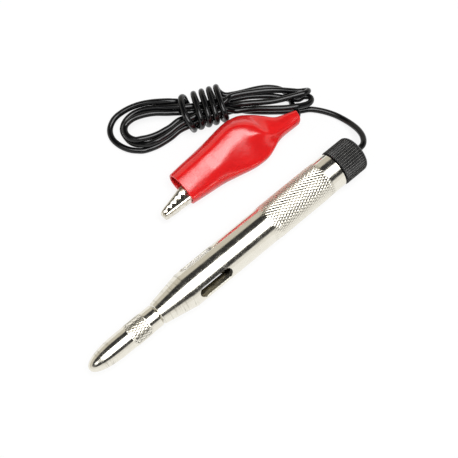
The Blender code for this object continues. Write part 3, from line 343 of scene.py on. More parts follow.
class Nodes:
    """A node tree, with short ways to add what the finishes and the studio are made of."""

    def __init__(self, tree):
        self.tree = tree

    def join(self, value, socket):
        """Links a node's output to a socket, or sets the socket to a plain value."""
        if isinstance(value, bpy.types.NodeSocket):
            self.tree.links.new(value, socket)
        else:
            socket.default_value = value

    def add(self, kind, inputs=None, **settings):
        """Adds a shader node, sets its options and joins or sets its inputs."""
        item = self.tree.nodes.new("ShaderNode" + kind)
        for name, value in settings.items():
            setattr(item, name, value)
        for name, value in (inputs or {}).items():
            self.join(value, item.inputs[name])
        return item

    def maths(self, operation, first, second):
        return self.add("Math", {0: first, 1: second}, operation=operation).outputs[0]

    def times(self, first, second):
        return self.maths("MULTIPLY", first, second)

    def plus(self, first, second):
        return self.maths("ADD", first, second)

    def greater(self, first, second):
        return self.maths("MAXIMUM", first, second)

    def ramp(self, value, low, high, to_low=0.0, to_high=1.0):
        """value, moved smoothly from the range low to high onto to_low to to_high."""
        inputs = {"Value": value, "From Min": low, "From Max": high, "To Min": to_low, "To Max": to_high}
        return self.add("MapRange", inputs, interpolation_type="SMOOTHSTEP").outputs[0]

    def within(self, value, low, high, edge):
        """1 where value lies between low and high, with soft edges."""
        rising = self.ramp(value, low - edge, low + edge)
        return self.times(rising, self.ramp(value, high - edge, high + edge, 1, 0))

    def mix(self, factor, *colours):
        """The first colour where factor is 0 and the second where it is 1."""
        first, second = [item if isinstance(item, bpy.types.NodeSocket) else (*item, 1) for item in colours]
        return self.add("Mix", {0: factor, 6: first, 7: second}, data_type="RGBA").outputs[2]

    def place(self):
        """The piece's own X, Y and Z, in metres."""
        return self.add("SeparateXYZ", {0: self.add("TexCoord").outputs["Object"]}).outputs

    def axis_distance(self):
        """Distance from the pen's axis, in millimetres."""
        place = self.add("TexCoord").outputs["Object"]
        inputs = {"Vector": place, "Location": (0, 0, -AXIS_HEIGHT / MM), "Scale": (0, 1 / MM, 1 / MM)}
        across = self.add("Mapping", inputs).outputs[0]
        return self.add("VectorMath", {0: across}, operation="LENGTH").outputs["Value"]

    def noise(self, density, detail=3.0, roughness=0.5):
        """Noise over the piece's own coordinates.

        density is how many features there are in a metre: one number, or three for X, Y and Z.
        """
        place = self.add("TexCoord").outputs["Object"]
        scale = [float(value) for value in np.broadcast_to(density, 3)]
        spread = self.add("Mapping", {"Vector": place, "Scale": scale}).outputs[0]
        inputs = {"Vector": spread, "Scale": 1.0, "Detail": detail, "Roughness": roughness}
        return self.add("TexNoise", inputs).outputs[0]

    def bump(self, height, distance, below=None):
        inputs = {"Height": height, "Distance": distance, "Strength": 1.0}
        if below is not None:
            inputs["Normal"] = below
        return self.add("Bump", inputs).outputs[0]


class Finish(Nodes):
    """A new material, with its Principled shader's inputs."""

    def __init__(self, name, colour, metallic, roughness, specular=0.5):
        self.material = bpy.data.materials.new(name)
        self.material.use_nodes = True
        super().__init__(self.material.node_tree)
        self.inputs = self.tree.nodes["Principled BSDF"].inputs
        self.inputs["Base Color"].default_value = (*colour, 1)
        self.inputs["Metallic"].default_value = metallic
        self.inputs["Roughness"].default_value = roughness
        self.inputs["Specular IOR Level"].default_value = specular

    def done(self, colour=None, roughness=None, normal=None):
        """Joins what is given to the shader, and returns the material."""
        for name, value in (("Base Color", colour), ("Roughness", roughness), ("Normal", normal)):
            if value is not None:
                self.join(value, self.inputs[name])
        return self.material


NICKEL = (0.84, 0.81, 0.72)
NICKEL_HAZE = (0.76, 0.72, 0.61)
NICKEL_SPECK = (0.36, 0.34, 0.28)
# Painted dark reflection streaks on the turned rings of the nose and cone.
PAINTED_RING_REFLECTION = (0.28, 0.26, 0.21)
# Painted shade deep in a knurl's grooves, and the share of the groove's depth that it reaches.
GROOVE_PAINTED_SHADE = (0.30, 0.28, 0.23)
GROOVE_PAINTED_SHADE_SHARE = 0.8
NOSE_RINGS = (TIP_X + 4.0 * MM, TIP_X + 9.0 * MM)
CONE_RINGS = (BARREL_FRONT, CONE_REAR)
RINGS_EDGE = 1.0 * MM
RINGS_ELSEWHERE = 0.22
PAINTED_RING_REFLECTION_SHARE = 0.42


def nickel_material(name, groove_radius=None, groove_depth=None):
    """Bright nickel with turned rings, haze and specks, painted dark reflections on the rings and painted
    shade deep in a knurl's grooves.
    """
    look = Finish(name, NICKEL, 1.0, 0.12)
    haze = look.noise(350, detail=4)
    specks = look.ramp(look.noise(2600, detail=2), 0.62, 0.76)
    rings = look.noise((1300, 90, 90), detail=4, roughness=0.65)
    along = look.place()[0]
    nose, cone = [look.within(along, *ends, RINGS_EDGE) for ends in (NOSE_RINGS, CONE_RINGS)]
    zone = look.greater(nose, cone)
    # Painted dark reflection streaks on the rings of the nose and cone.
    painted_ring_reflection = look.times(look.ramp(rings, 0.5, 0.64), look.times(zone, PAINTED_RING_REFLECTION_SHARE))
    colour = look.mix(look.ramp(haze, 0.4, 0.75, 0.0, 0.3), NICKEL, NICKEL_HAZE)
    colour = look.mix(look.times(specks, 0.3), colour, NICKEL_SPECK)
    colour = look.mix(painted_ring_reflection, colour, PAINTED_RING_REFLECTION)
    rough = look.plus(look.ramp(haze, 0.3, 0.75, 0.12, 0.21), look.times(specks, 0.2))
    # Painted shade deep in a knurl's grooves.
    if groove_radius is not None:
        floor_radius = groove_radius - groove_depth
        painted_shade_radius = groove_radius - GROOVE_PAINTED_SHADE_SHARE * groove_depth
        groove = look.ramp(look.axis_distance(), floor_radius / MM, painted_shade_radius / MM, 1, 0)
        colour = look.mix(look.times(groove, 0.55), colour, GROOVE_PAINTED_SHADE)
        rough = look.plus(rough, look.times(groove, 0.1))
    relief = look.times(rings, look.plus(zone, RINGS_ELSEWHERE))
    return look.done(colour, rough, look.bump(relief, 0.035 * MM))


def bore_material():
    """The barrel's inside, left as bored: dull metal with a brown film in patches, kept dark as painted
    shade inside the barrel.
    """
    look = Finish("bored_metal", (0.24, 0.20, 0.14), 1.0, 0.4)
    film_and_painted_shade = look.noise(500, detail=4)
    # Partly painted shade: the bored metal's colours are kept dark for the shade inside the barrel.
    colour = look.mix(look.ramp(film_and_painted_shade, 0.35, 0.7), (0.20, 0.17, 0.095), (0.06, 0.05, 0.03))
    marks = look.bump(look.noise((7000, 200, 200)), 0.01 * MM)
    return look.done(colour, look.ramp(film_and_painted_shade, 0.3, 0.7, 0.3, 0.5), marks)


# Painted shade on the windows' -Y walls: its share, and the side where it starts.
MILLED_PAINTED_SHADE_SHARE = 0.85
MILLED_PAINTED_SHADE_SIDE = (-1.0 * MM, 0)


def milled_material():
    """The windows' milled walls: plated over the cutter's fine marks, with painted shade on the -Y side,
    olive towards the front and black towards the rear.
    """
    look = Finish("milled_nickel", (0.93, 0.91, 0.86), 1.0, 0.6)
    marks = look.noise((2500, 2500, 600))
    along, side, _ = look.place()
    bright = look.mix(look.ramp(marks, 0.35, 0.7), (0.95, 0.93, 0.88), (0.84, 0.81, 0.74))
    # Painted shade on the -Y wall: olive towards the front, black towards the rear.
    film_and_painted_shade = look.mix(look.ramp(along, WINDOW_FRONT, WINDOW_REAR), (0.34, 0.30, 0.17), (0.05, 0.045, 0.03))
    colour = look.mix(look.ramp(side, *MILLED_PAINTED_SHADE_SIDE, MILLED_PAINTED_SHADE_SHARE, 0), bright, film_and_painted_shade)
    return look.done(colour, look.ramp(marks, 0.3, 0.7, 0.5, 0.65), look.bump(marks, 0.008 * MM))


# Painted shade and red reflection of the boot on the jaws' sheet towards the hinge.
ROOT_PAINTED_REFLECTION = (3.0 * MM, 4.6 * MM)
ROOT_PAINTED_REFLECTION_SIDE = (25.2 * MM, 26.6 * MM)
ROOT_PAINTED_REFLECTION_WANDER = 3 * MM
ROOT_PAINTED_REFLECTION_SHARE = 0.75


def sheet_nickel_material():
    """Nickel on folded sheet: streaks from the roll, a mottled plate, and painted shade with a red painted
    reflection of the boot towards the hinge.
    """
    look = Finish("sheet_nickel", (0.74, 0.70, 0.61), 1.0, 0.22)
    mottle = look.noise(900, detail=5, roughness=0.6)
    along, side, _ = look.place()
    # Painted shade and red reflection of the boot, towards the hinge on the +Y side.
    film_and_painted_shade = look.ramp(look.plus(along, look.times(mottle, ROOT_PAINTED_REFLECTION_WANDER)), *ROOT_PAINTED_REFLECTION)
    film_and_painted_shade = look.times(film_and_painted_shade, look.ramp(side, *ROOT_PAINTED_REFLECTION_SIDE))
    colour = look.mix(look.ramp(mottle, 0.42, 0.68), (0.80, 0.765, 0.68), (0.50, 0.46, 0.38))
    colour = look.mix(look.times(film_and_painted_shade, ROOT_PAINTED_REFLECTION_SHARE), colour, (0.30, 0.13, 0.05))
    streaks = look.bump(look.noise((400, 3500, 3500)), 0.0025 * MM)
    return look.done(colour, look.ramp(mottle, 0.3, 0.7, 0.10, 0.26), streaks)


def plain_metal(name, colour, dark, roughness):
    """A small turned or formed part: its colour with darker film in patches and fine tool marks."""
    look = Finish(name, colour, 1.0, roughness)
    film_and_painted_shade = look.noise(700, detail=4)
    tones = look.mix(look.ramp(film_and_painted_shade, 0.45, 0.75), colour, dark)
    rough = look.ramp(film_and_painted_shade, 0.3, 0.75, roughness * 0.8, roughness * 1.4)
    return look.done(tones, rough, look.bump(look.noise((4000, 300, 300)), 0.005 * MM))


RED = (0.72, 0.012, 0.012)
DEEP_RED = (0.64, 0.008, 0.009)


def red_vinyl_material():
    """Dipped red vinyl: glossy, slightly cloudy, with a faint ripple and fine dust pits."""
    look = Finish("red_vinyl", RED, 0.0, 0.25, specular=0.75)
    cloud = look.noise(160)
    pits = look.ramp(look.noise(4500, detail=2), 0.70, 0.84)
    colour = look.mix(look.ramp(cloud, 0.35, 0.7), RED, DEEP_RED)
    rough = look.plus(look.ramp(cloud, 0.3, 0.7, 0.15, 0.21), look.times(pits, 0.2))
    ripple = look.bump(look.noise((300, 500, 500), detail=2), 0.05 * MM)
    return look.done(colour, rough, look.bump(pits, -0.006 * MM, below=ripple))


JACKET_BLACK = (0.003, 0.003, 0.0035)
JACKET_DUST = (0.006, 0.006, 0.006)


def cord_material():
    """Black cord jacket: a glossy drawn skin with faint waves and a dusty haze."""
    look = Finish("cord_jacket", JACKET_BLACK, 0.0, 0.12, specular=0.4)
    haze = look.noise(400, detail=4)
    colour = look.mix(look.ramp(haze, 0.45, 0.8), JACKET_BLACK, JACKET_DUST)
    waves = look.bump(look.noise(900, detail=2), 0.002 * MM)
    return look.done(colour, look.ramp(haze, 0.3, 0.75, 0.13, 0.21), waves)


# Painted highlight on the end cap's rib crests.
CREST_HIGHLIGHT_SHARE = 0.2
PAINTED_CREST_HIGHLIGHT = (0.17, 0.167, 0.16)


def black_plastic_material():
    """Moulded black plastic: satin, with a fine grain and a painted highlight on the rib crests."""
    look = Finish("black_plastic", (0.005, 0.005, 0.005), 0.0, 0.2, specular=0.3)
    grain = look.noise(3500)
    crest_highlight_from = END_CAP_RADIUS - CREST_HIGHLIGHT_SHARE * RIB_DEPTH
    crest_highlight = look.ramp(look.axis_distance(), crest_highlight_from / MM, END_CAP_RADIUS / MM)
    colour = look.mix(look.ramp(grain, 0.3, 0.7), (0.006, 0.006, 0.006), (0.011, 0.011, 0.011))
    # Painted highlight on the rib crests.
    colour = look.mix(crest_highlight, colour, PAINTED_CREST_HIGHLIGHT)
    return look.done(colour, look.ramp(grain, 0.3, 0.7, 0.24, 0.34), look.bump(grain, 0.0015 * MM))


def bulb_glass_material():
    """Bulb glass, tinted as painted shade inside the barrel and darker in patches."""
    # The glass's tint is painted shade: it darkens what the windows show of the inside.
    look = Finish("bulb_glass", (0.62, 0.58, 0.48), 0.0, 0.03)
    look.inputs["Transmission Weight"].default_value = 1.0
    look.inputs["IOR"].default_value = 1.5
    film_and_painted_shade = look.noise(500)
    colour = look.mix(look.ramp(film_and_painted_shade, 0.4, 0.8), (0.62, 0.59, 0.50), (0.45, 0.42, 0.34))
    return look.done(colour, look.ramp(film_and_painted_shade, 0.3, 0.7, 0.02, 0.07))


def black_glass_material():
    """The fused black glass in the bulb's foot."""
    look = Finish("black_glass", (0.012, 0.012, 0.015), 0.0, 0.12)
    blur = look.noise(600)
    return look.done(None, look.ramp(blur, 0.3, 0.7, 0.08, 0.2), look.bump(blur, 0.02 * MM))


def linked(name, data):
    """A new object in the scene."""
    item = bpy.data.objects.new(name, data)
    bpy.context.collection.objects.link(item)
    return item


def make_camera():
    camera = bpy.data.cameras.new("camera")
    camera.lens = SENSOR_WIDTH * FOCAL_PIXELS / PHOTO_PIXELS
    camera.sensor_width = SENSOR_WIDTH
    camera.clip_start = CAMERA_NEAR
    item = linked("camera", camera)
    flat = math.cos(CAMERA_ELEVATION)
    sideways, forwards = math.sin(CAMERA_AZIMUTH) * flat, math.cos(CAMERA_AZIMUTH) * flat
    back = Vector((sideways, -forwards, math.sin(CAMERA_ELEVATION)))
    item.location = CAMERA_TARGET + back * CAMERA_DISTANCE
    item.rotation_euler = back.to_track_quat("Z", "Y").to_euler()
    bpy.context.scene.camera = item


FLOOR_HALF_WIDTH = 2.0
FLOOR_WHITE_SHARE = 0.85
FLOOR_COLOUR = (0.9, 0.9, 0.9, 1)
WHITE = (1, 1, 1, 1)


def make_floor():
    """A pale floor that shows white and keeps a faint shadow."""
    half = FLOOR_HALF_WIDTH
    corners = [(-half, -half, 0), (half, -half, 0), (half, half, 0), (-half, half, 0)]
    mesh = bpy.data.meshes.new("floor")
    mesh.from_pydata(corners, [], [(0, 1, 2, 3)])
    floor = linked("floor", mesh)
    material = bpy.data.materials.new("pale_floor")
    material.use_nodes = True
    mesh.materials.append(material)
    look = Nodes(material.node_tree)
    path = look.add("LightPath").outputs
    shown = look.greater(path["Is Camera Ray"], path["Is Glossy Ray"])
    shown = look.greater(shown, path["Is Transmission Ray"])
    matt = look.add("BsdfDiffuse", {"Color": FLOOR_COLOUR}).outputs[0]
    white = look.add("Emission", {"Color": WHITE, "Strength": 1.0}).outputs[0]
    share = look.times(shown, FLOOR_WHITE_SHARE)
    surface = look.add("MixShader", {0: share, 1: matt, 2: white}).outputs[0]
    look.join(surface, look.tree.nodes["Material Output"].inputs[0])


SOFTBOX_STRENGTH = 3.0
SOFTBOX_SIDES_X = (-0.33, 0.36)
SOFTBOX_ANGLES = (80, 126)
SOFTBOX_CORE_STRENGTH = 5.0
SOFTBOX_CORES_X = ((-0.29, -0.05), (0.07, 0.33))
SOFTBOX_CORE_ANGLES = (85, 120)
SOFTBOX_EDGE = 3.5
SOFTBOX_SIDE_EDGE = 0.03
CARD_STRENGTH = 2.0
CARD_SIDES_X = (-0.66, -0.50)
CARD_SIDES_Y = (-0.30, 0.12)
CARD_EDGES = (0.02, 0.03)
CARD_RISE = (0.0, 0.1)
DARK = (0.035, 0.035, 0.035)
WALL_HEIGHT = 0.50
WALL_EDGE = 0.04
WALL_TILT = 0.14
WALL_SHADE = (-0.3, 0.6)
WALL_PALE = (0.90, 0.89, 0.87)
WALL_DULL = (0.66, 0.63, 0.56)


def make_world():
    """A plain studio: a softbox overhead with two cores, a side card, low pale walls and a dark gap."""
    world = bpy.data.worlds.new("studio")
    world.use_nodes = True
    bpy.context.scene.world = world
    sky = Nodes(world.node_tree)
    x, y, z = sky.add("SeparateXYZ", {0: sky.add("TexCoord").outputs["Generated"]}).outputs
    angle = sky.times(sky.maths("ARCTAN2", z, y), math.degrees(1))

    def box(angles, sides, strength):
        face = sky.times(sky.within(angle, *angles, SOFTBOX_EDGE), sky.within(x, *sides, SOFTBOX_SIDE_EDGE))
        return sky.times(face, strength)

    card_x, card_y = CARD_EDGES
    card = sky.times(sky.within(x, *CARD_SIDES_X, card_x), sky.within(y, *CARD_SIDES_Y, card_y))
    card = sky.times(card, sky.ramp(z, *CARD_RISE))
    bright = sky.plus(box(SOFTBOX_ANGLES, SOFTBOX_SIDES_X, SOFTBOX_STRENGTH), sky.times(card, CARD_STRENGTH))
    for sides in SOFTBOX_CORES_X:
        bright = sky.plus(bright, box(SOFTBOX_CORE_ANGLES, sides, SOFTBOX_CORE_STRENGTH))

    height = sky.maths("SUBTRACT", z, sky.times(y, WALL_TILT))
    wall = sky.ramp(height, WALL_HEIGHT - WALL_EDGE, WALL_HEIGHT + WALL_EDGE, 1, 0)
    colour = sky.mix(wall, DARK, sky.mix(sky.ramp(y, *WALL_SHADE), WALL_PALE, WALL_DULL))
    lit = sky.add("Background", {"Color": colour, "Strength": 1.0}).outputs[0]
    lamp = sky.add("Background", {"Color": WHITE, "Strength": bright}).outputs[0]
    studio = sky.add("AddShader", {0: lit, 1: lamp}).outputs[0]
    white = sky.add("Background", {"Color": WHITE, "Strength": 1.0}).outputs[0]
    path = sky.add("LightPath").outputs
    backdrop = sky.greater(path["Is Camera Ray"], path["Is Transmission Ray"])
    shown = sky.add("MixShader", {0: backdrop, 1: studio, 2: white}).outputs[0]
    sky.join(shown, sky.tree.nodes["World Output"].inputs[0])


def shape_from(mesh):
    """A bmesh of a mesh that isn't needed any more."""
    shape = bmesh.new()
    shape.from_mesh(mesh)
    bpy.data.meshes.remove(mesh)
    return shape


def mesh_from(shape, name):
    """A mesh of a bmesh that isn't needed any more."""
    mesh = bpy.data.meshes.new(name)
    shape.to_mesh(mesh)
    shape.free()
    return mesh


def add_piece(shape, name, materials, sharp_angle=32):
    """Turns a bmesh into a smooth piece whose edges stay crisp above sharp_angle degrees."""
    mesh = mesh_from(shape, name)
    for material in materials:
        mesh.materials.append(material)
    mesh.shade_smooth()
    mesh.set_sharp_from_angle(angle=math.radians(sharp_angle))
    item = linked(name, mesh)
    return item


def evaluated_mesh(item):
    """The mesh that an object shows with its modifiers or its bevel."""
    bpy.context.view_layer.update()
    return bpy.data.meshes.new_from_object(item.evaluated_get(bpy.context.evaluated_depsgraph_get()))


def tube(name, points, radius, resolution):
    """A round capped curve through a row of points."""
    curve = bpy.data.curves.new(name, "CURVE")
    curve.dimensions = "3D"
    curve.bevel_depth = radius
    curve.bevel_resolution = resolution
    curve.use_fill_caps = True
    spline = curve.splines.new("POLY")
    spline.points.add(len(points) - 1)
    for corner, point in zip(spline.points, points):
        corner.co = (*point, 1)
    spline.use_smooth = True
    return linked(name, curve)


def join_rings(shape, rings, closed=False):
    """Joins each ring of corners to the next with quads; closed joins the last ring to the first too."""
    following = rings[1:] + rings[:1] if closed else rings[1:]
    for ring, after in zip(rings, following):
        for index in range(len(ring)):
            side = (index + 1) % len(ring)
            shape.faces.new((ring[index], ring[side], after[side], after[index]))


def evenly(points, spacing=None, count=None):
    """Evenly spaced points along a line of points: as many as count says, or about spacing apart."""
    lengths = np.concatenate([[0], np.cumsum(np.linalg.norm(np.diff(points, axis=0), axis=1))])
    places = np.linspace(0, lengths[-1], count or round(lengths[-1] / spacing) + 1)
    return np.column_stack([np.interp(places, lengths, column) for column in points.T])


def ring_points(place, radius, segments):
    angles = np.arange(segments) * math.tau / segments
    reach = np.broadcast_to(radius, segments)
    columns = (np.full(segments, place), reach * np.cos(angles), AXIS_HEIGHT + reach * np.sin(angles))
    return np.column_stack(columns)


def off_axis(point):
    """How far a point lies from the pen's axis."""
    return math.hypot(point.y, point.z - AXIS_HEIGHT)


def turned(rows, segments, closed=False):
    """A bmesh of rings about the pen's axis, one for each (place, radius) row.

    A radius may be an array with one value for each segment. Rows that lie on the axis close to a point.
    Quads with relief split along the diagonal that is more level, so that grooves stay straight.
    """
    points = np.concatenate([ring_points(place, radius, segments) for place, radius in rows])
    faces = []
    last = len(rows) if closed else len(rows) - 1
    for row in range(last):
        after = (row + 1) % len(rows)
        near = np.broadcast_to(rows[row][1], segments)
        far = np.broadcast_to(rows[after][1], segments)
        relief = near.std() > 0 or far.std() > 0
        for column in range(segments):
            side = (column + 1) % segments
            a, b = row * segments + column, row * segments + side
            c, d = after * segments + side, after * segments + column
            if not relief:
                faces.append((a, b, c, d))
            elif abs(near[column] - far[side]) <= abs(near[side] - far[column]):
                faces.extend(((a, b, c), (a, c, d)))
            else:
                faces.extend(((a, b, d), (b, c, d)))
    mesh = bpy.data.meshes.new("rings")
    mesh.from_pydata(points.tolist(), [], faces)
    shape = shape_from(mesh)
    on_axis = [corner for corner in shape.verts if off_axis(corner.co) < 2 * TOUCHING]
    bmesh.ops.remove_doubles(shape, verts=on_axis, dist=10 * TOUCHING)
    return shape


def soft_step(value, low, high):
    """0 below low and 1 above high, with a smooth rise between them."""
    share = min(1, max(0, (value - low) / (high - low)))
    return share * share * (3 - 2 * share)


def knurl_rows(front, rear, radius, starts, deepest):
    """Rows of a diamond knurl from front to rear: crowned pads between crossed V grooves."""
    count = round((rear - front) / GROOVE_SPACING * KNURL_STEPS)
    columns = np.arange(starts * KNURL_STEPS)
    rise_steps = min(KNURL_RISE_STEPS, count / KNURL_RISE_PART)
    rows = []
    for row in range(count + 1):
        rising = (row + columns) % KNURL_STEPS
        falling = (row - columns) % KNURL_STEPS
        near = np.minimum.reduce([rising, KNURL_STEPS - rising, falling, KNURL_STEPS - falling])
        depth = deepest * (1 - near / (KNURL_STEPS / 2)) ** KNURL_FLATNESS
        rise = KNURL_CREST * soft_step(min(row, count - row), 0, rise_steps)
        fade = min(1, row / rise_steps, (count - row) / KNURL_RUN_OUT_STEPS)
        rows.append((front + (rear - front) * row / count, radius + rise - depth * fade))
    return rows


def thread_rows(front, rear, radius, segments):
    """Rows of a fine right-hand thread that runs out at both ends."""
    count = round((rear - front) / THREAD_PITCH * THREAD_STEPS)
    turn = np.arange(segments) / segments
    rows = []
    for row in range(count + 1):
        phase = (row / THREAD_STEPS - turn) % 1
        depth = THREAD_DEPTH * np.abs(2 * phase - 1)
        fade = min(1, row / THREAD_STEPS, (count - row) / THREAD_STEPS)
        rows.append((front + (rear - front) * row / count, radius - depth * fade))
    return rows


def slot_outline(grow):
    """The window's outline round its middle, as (along, across) points, grown outwards by grow."""
    radius = WINDOW_WIDTH / 2 + grow
    straight = WINDOW_LENGTH / 2 - WINDOW_WIDTH / 2
    outline = []
    for side in (1, -1):
        for step in range(WINDOW_END_STEPS + 1):
            angle = math.pi * (step / WINDOW_END_STEPS - 0.5)
            outline.append((side * (straight + radius * math.cos(angle)), side * radius * math.sin(angle)))
    return outline


def window_cutter():
    """Three slot-shaped solids whose flared outer part leaves an even chamfer on the round barrel."""
    shape = bmesh.new()
    levels = [(WINDOW_BORE_RADIUS - WINDOW_INSIDE, 0), (BARREL_RADIUS - WINDOW_CHAMFER, 0),
              (BARREL_RADIUS + WINDOW_OUTSIDE, WINDOW_CHAMFER + WINDOW_OUTSIDE)]
    middle = (WINDOW_FRONT + WINDOW_REAR) / 2
    for index in range(WINDOW_COUNT):
        turn = math.tau * index / WINDOW_COUNT - math.pi / 2
        out = Vector((0, math.cos(turn), math.sin(turn)))
        across_axis = Vector((0, -math.sin(turn), math.cos(turn)))
        rings = []
        for radius, grow in levels:
            ring = []
            for along, across in slot_outline(grow):
                height = math.sqrt(radius ** 2 - across ** 2)
                point = Vector((middle + along, 0, AXIS_HEIGHT)) + out * height + across_axis * across
                ring.append(shape.verts.new(point))
            rings.append(ring)
        join_rings(shape, rings)
        for ring in (rings[0], rings[-1]):
            centre = shape.verts.new(sum((corner.co for corner in ring), Vector()) / len(ring))
            for start in range(len(ring)):
                shape.faces.new((ring[start], ring[(start + 1) % len(ring)], centre))
    bmesh.ops.recalc_face_normals(shape, faces=shape.faces)
    return linked("window_cutter", mesh_from(shape, "window_cutter"))


def carved(shape, cutters):
    """The mesh that is left when the cutters' volumes are taken out of a shape."""
    item = linked("carved", mesh_from(shape, "carved"))
    for cutter in cutters:
        cut = item.modifiers.new("cut", "BOOLEAN")
        cut.operation = "DIFFERENCE"
        cut.solver = "EXACT"
        cut.object = cutter
    result = evaluated_mesh(item)
    for scratch in (item, *cutters):
        bpy.data.objects.remove(scratch)
    return result


def windowed_sleeve(front, rear, segments):
    """The ring of barrel that holds the windows, cut through and open at both ends."""
    shape = turned([(front, BARREL_RADIUS), (rear, BARREL_RADIUS), (rear, WINDOW_BORE_RADIUS),
                    (front, WINDOW_BORE_RADIUS)], segments, closed=True)
    return carved(shape, [window_cutter()])


def at_end(face, places):
    return any(all(abs(corner.co.x - place) < TOUCHING for corner in face.verts) for place in places)


def cone_rows():
    """Rows of the barrel's cone, rounded where it meets the barrel."""
    start = BARREL_FRONT + EDGE_CHAMFER
    straight = CONE_LENGTH - EDGE_CHAMFER - CONE_BLEND
    straight_rise = (BARREL_RADIUS - CONE_FRONT_RADIUS) * (1 - CONE_BLEND / CONE_LENGTH)
    rows = []
    for step in range(CONE_ROWS + 1):
        radius = CONE_FRONT_RADIUS + straight_rise * step / CONE_ROWS
        rows.append((start + straight * step / CONE_ROWS, radius))
    blend_start, blend_radius = rows[-1]
    for step in range(1, CONE_BLEND_ROWS + 1):
        share = step / CONE_BLEND_ROWS
        rise = (BARREL_RADIUS - blend_radius) * (1 - (1 - share) ** CONE_BLEND_FULLNESS)
        rows.append((blend_start + CONE_BLEND * share, blend_radius + rise))
    return rows


def barrel_front(sleeve_front, segments):
    """The barrel ahead of its windows: cone, threaded spigot and the needle's bore, open at its rear."""
    head_room = NEEDLE_HEAD_RADIUS + FIT_GAP
    spigot = thread_rows(SPIGOT_FRONT + EDGE_CHAMFER, BARREL_FRONT - EDGE_CHAMFER, SPIGOT_RADIUS, segments)
    return turned([
        (sleeve_front, WINDOW_BORE_RADIUS), (CONE_REAR, WINDOW_BORE_RADIUS),
        (NOSE_BORE_REAR + NEEDLE_HEAD_LENGTH + 2 * FIT_GAP, head_room), (NOSE_BORE_REAR, head_room),
        (NOSE_BORE_REAR, NEEDLE_BORE_RADIUS), (SPIGOT_FRONT, NEEDLE_BORE_RADIUS),
        (SPIGOT_FRONT, SPIGOT_RADIUS - EDGE_CHAMFER), *spigot,
        (BARREL_FRONT, SPIGOT_RADIUS), (BARREL_FRONT, CONE_FRONT_RADIUS - EDGE_CHAMFER), *cone_rows(),
        (sleeve_front, BARREL_RADIUS),
    ], segments)


def barrel_rear(sleeve_rear, segments):
    """The barrel behind its windows: knurl, rear edge and bore, open at its front."""
    return turned([
        (sleeve_rear, BARREL_RADIUS),
        *knurl_rows(*BARREL_KNURL, BARREL_RADIUS, BARREL_KNURL_STARTS, BARREL_KNURL_DEPTH),
        (BARREL_REAR - EDGE_CHAMFER, BARREL_RADIUS), (BARREL_REAR, BARREL_RADIUS - EDGE_CHAMFER),
        (BARREL_REAR, BARREL_BORE_RADIUS), (LEDGE_X, BARREL_BORE_RADIUS), (LEDGE_X, WINDOW_BORE_RADIUS),
        (sleeve_rear, WINDOW_BORE_RADIUS),
    ], segments)


def choose_barrel_materials(shape):
    """Gives the barrel's bore, its windows' walls and its knurl their own materials."""
    for face in shape.faces:
        centre = face.calc_center_median()
        out = Vector((0, centre.y, centre.z - AXIS_HEIGHT))
        tilt = face.normal.dot(out.normalized())
        near_windows = WINDOW_FRONT - WINDOW_MARGIN < centre.x < WINDOW_REAR + WINDOW_MARGIN
        if tilt < -FACING:
            face.material_index = BORED_FACES
        elif near_windows and tilt < FACING and out.length < BARREL_RADIUS:
            face.material_index = MILLED_FACES
        elif BARREL_KNURL[0] < centre.x < BARREL_KNURL[1]:
            face.material_index = KNURLED_FACES


def make_barrel(nickel, knurled, bore, milled):
    segments = BARREL_KNURL_STARTS * KNURL_STEPS
    ends = WINDOW_FRONT - WINDOW_MARGIN, WINDOW_REAR + WINDOW_MARGIN / 2
    whole = shape_from(windowed_sleeve(*ends, segments))
    bmesh.ops.delete(whole, geom=[face for face in whole.faces if at_end(face, ends)], context="FACES")
    for part in (barrel_front(ends[0], segments), barrel_rear(ends[1], segments)):
        mesh = mesh_from(part, "part")
        whole.from_mesh(mesh)
        bpy.data.meshes.remove(mesh)
    bmesh.ops.remove_doubles(whole, verts=whole.verts, dist=2 * TOUCHING)
    whole.normal_update()
    choose_barrel_materials(whole)
    item = add_piece(whole, "knurled_barrel", [nickel, knurled, bore, milled])
    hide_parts("barrel")
    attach(item, "tester")


def make_tip_cap(nickel, knurled, bore):
    segments = CAP_KNURL_STARTS * KNURL_STEPS
    nose = []
    for step in range(NOSE_ROWS + 1):
        share = 1 - math.cos(math.pi / 2 * step / NOSE_ROWS)
        radius = TIP_CAP_RADIUS * max(0, 1 - (1 - share) ** 2) ** (1 / NOSE_FULLNESS)
        nose.append((TIP_X + NOSE_BLUNTING + (NOSE_LENGTH - NOSE_BLUNTING) * share, radius))
    thread_end = SPIGOT_FRONT - FIT_GAP
    point_end = NEEDLE_LOW.x + NEEDLE_POINT_LENGTH
    shape = turned([
        *nose,
        *knurl_rows(*CAP_KNURL, TIP_CAP_RADIUS, CAP_KNURL_STARTS, CAP_KNURL_DEPTH),
        (TIP_CAP_REAR - EDGE_CHAMFER, TIP_CAP_RADIUS), (TIP_CAP_REAR, TIP_CAP_RADIUS - EDGE_CHAMFER),
        (TIP_CAP_REAR, SPIGOT_RADIUS + FIT_GAP), (thread_end, SPIGOT_RADIUS + FIT_GAP),
        (thread_end, NEEDLE_BORE_RADIUS + FIT_GAP), (point_end, NEEDLE_BORE_RADIUS + FIT_GAP),
        (TIP_X + NOSE_WALL, 0),
    ], segments)
    for face in shape.faces:
        centre = face.calc_center_median()
        distance = off_axis(centre)
        if CAP_KNURL[0] < centre.x < CAP_KNURL[1] and distance > SPIGOT_RADIUS + 2 * FIT_GAP:
            face.material_index = KNURLED_FACES
        elif distance < SPIGOT_RADIUS + FIT_GAP and centre.x > TIP_X + NOSE_LENGTH / 2:
            face.material_index = BORED_FACES
    item = add_piece(shape, "knurled_tip_cap", [nickel, knurled, bore])
    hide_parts("tip_cap")
    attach(item, "tip_cap")


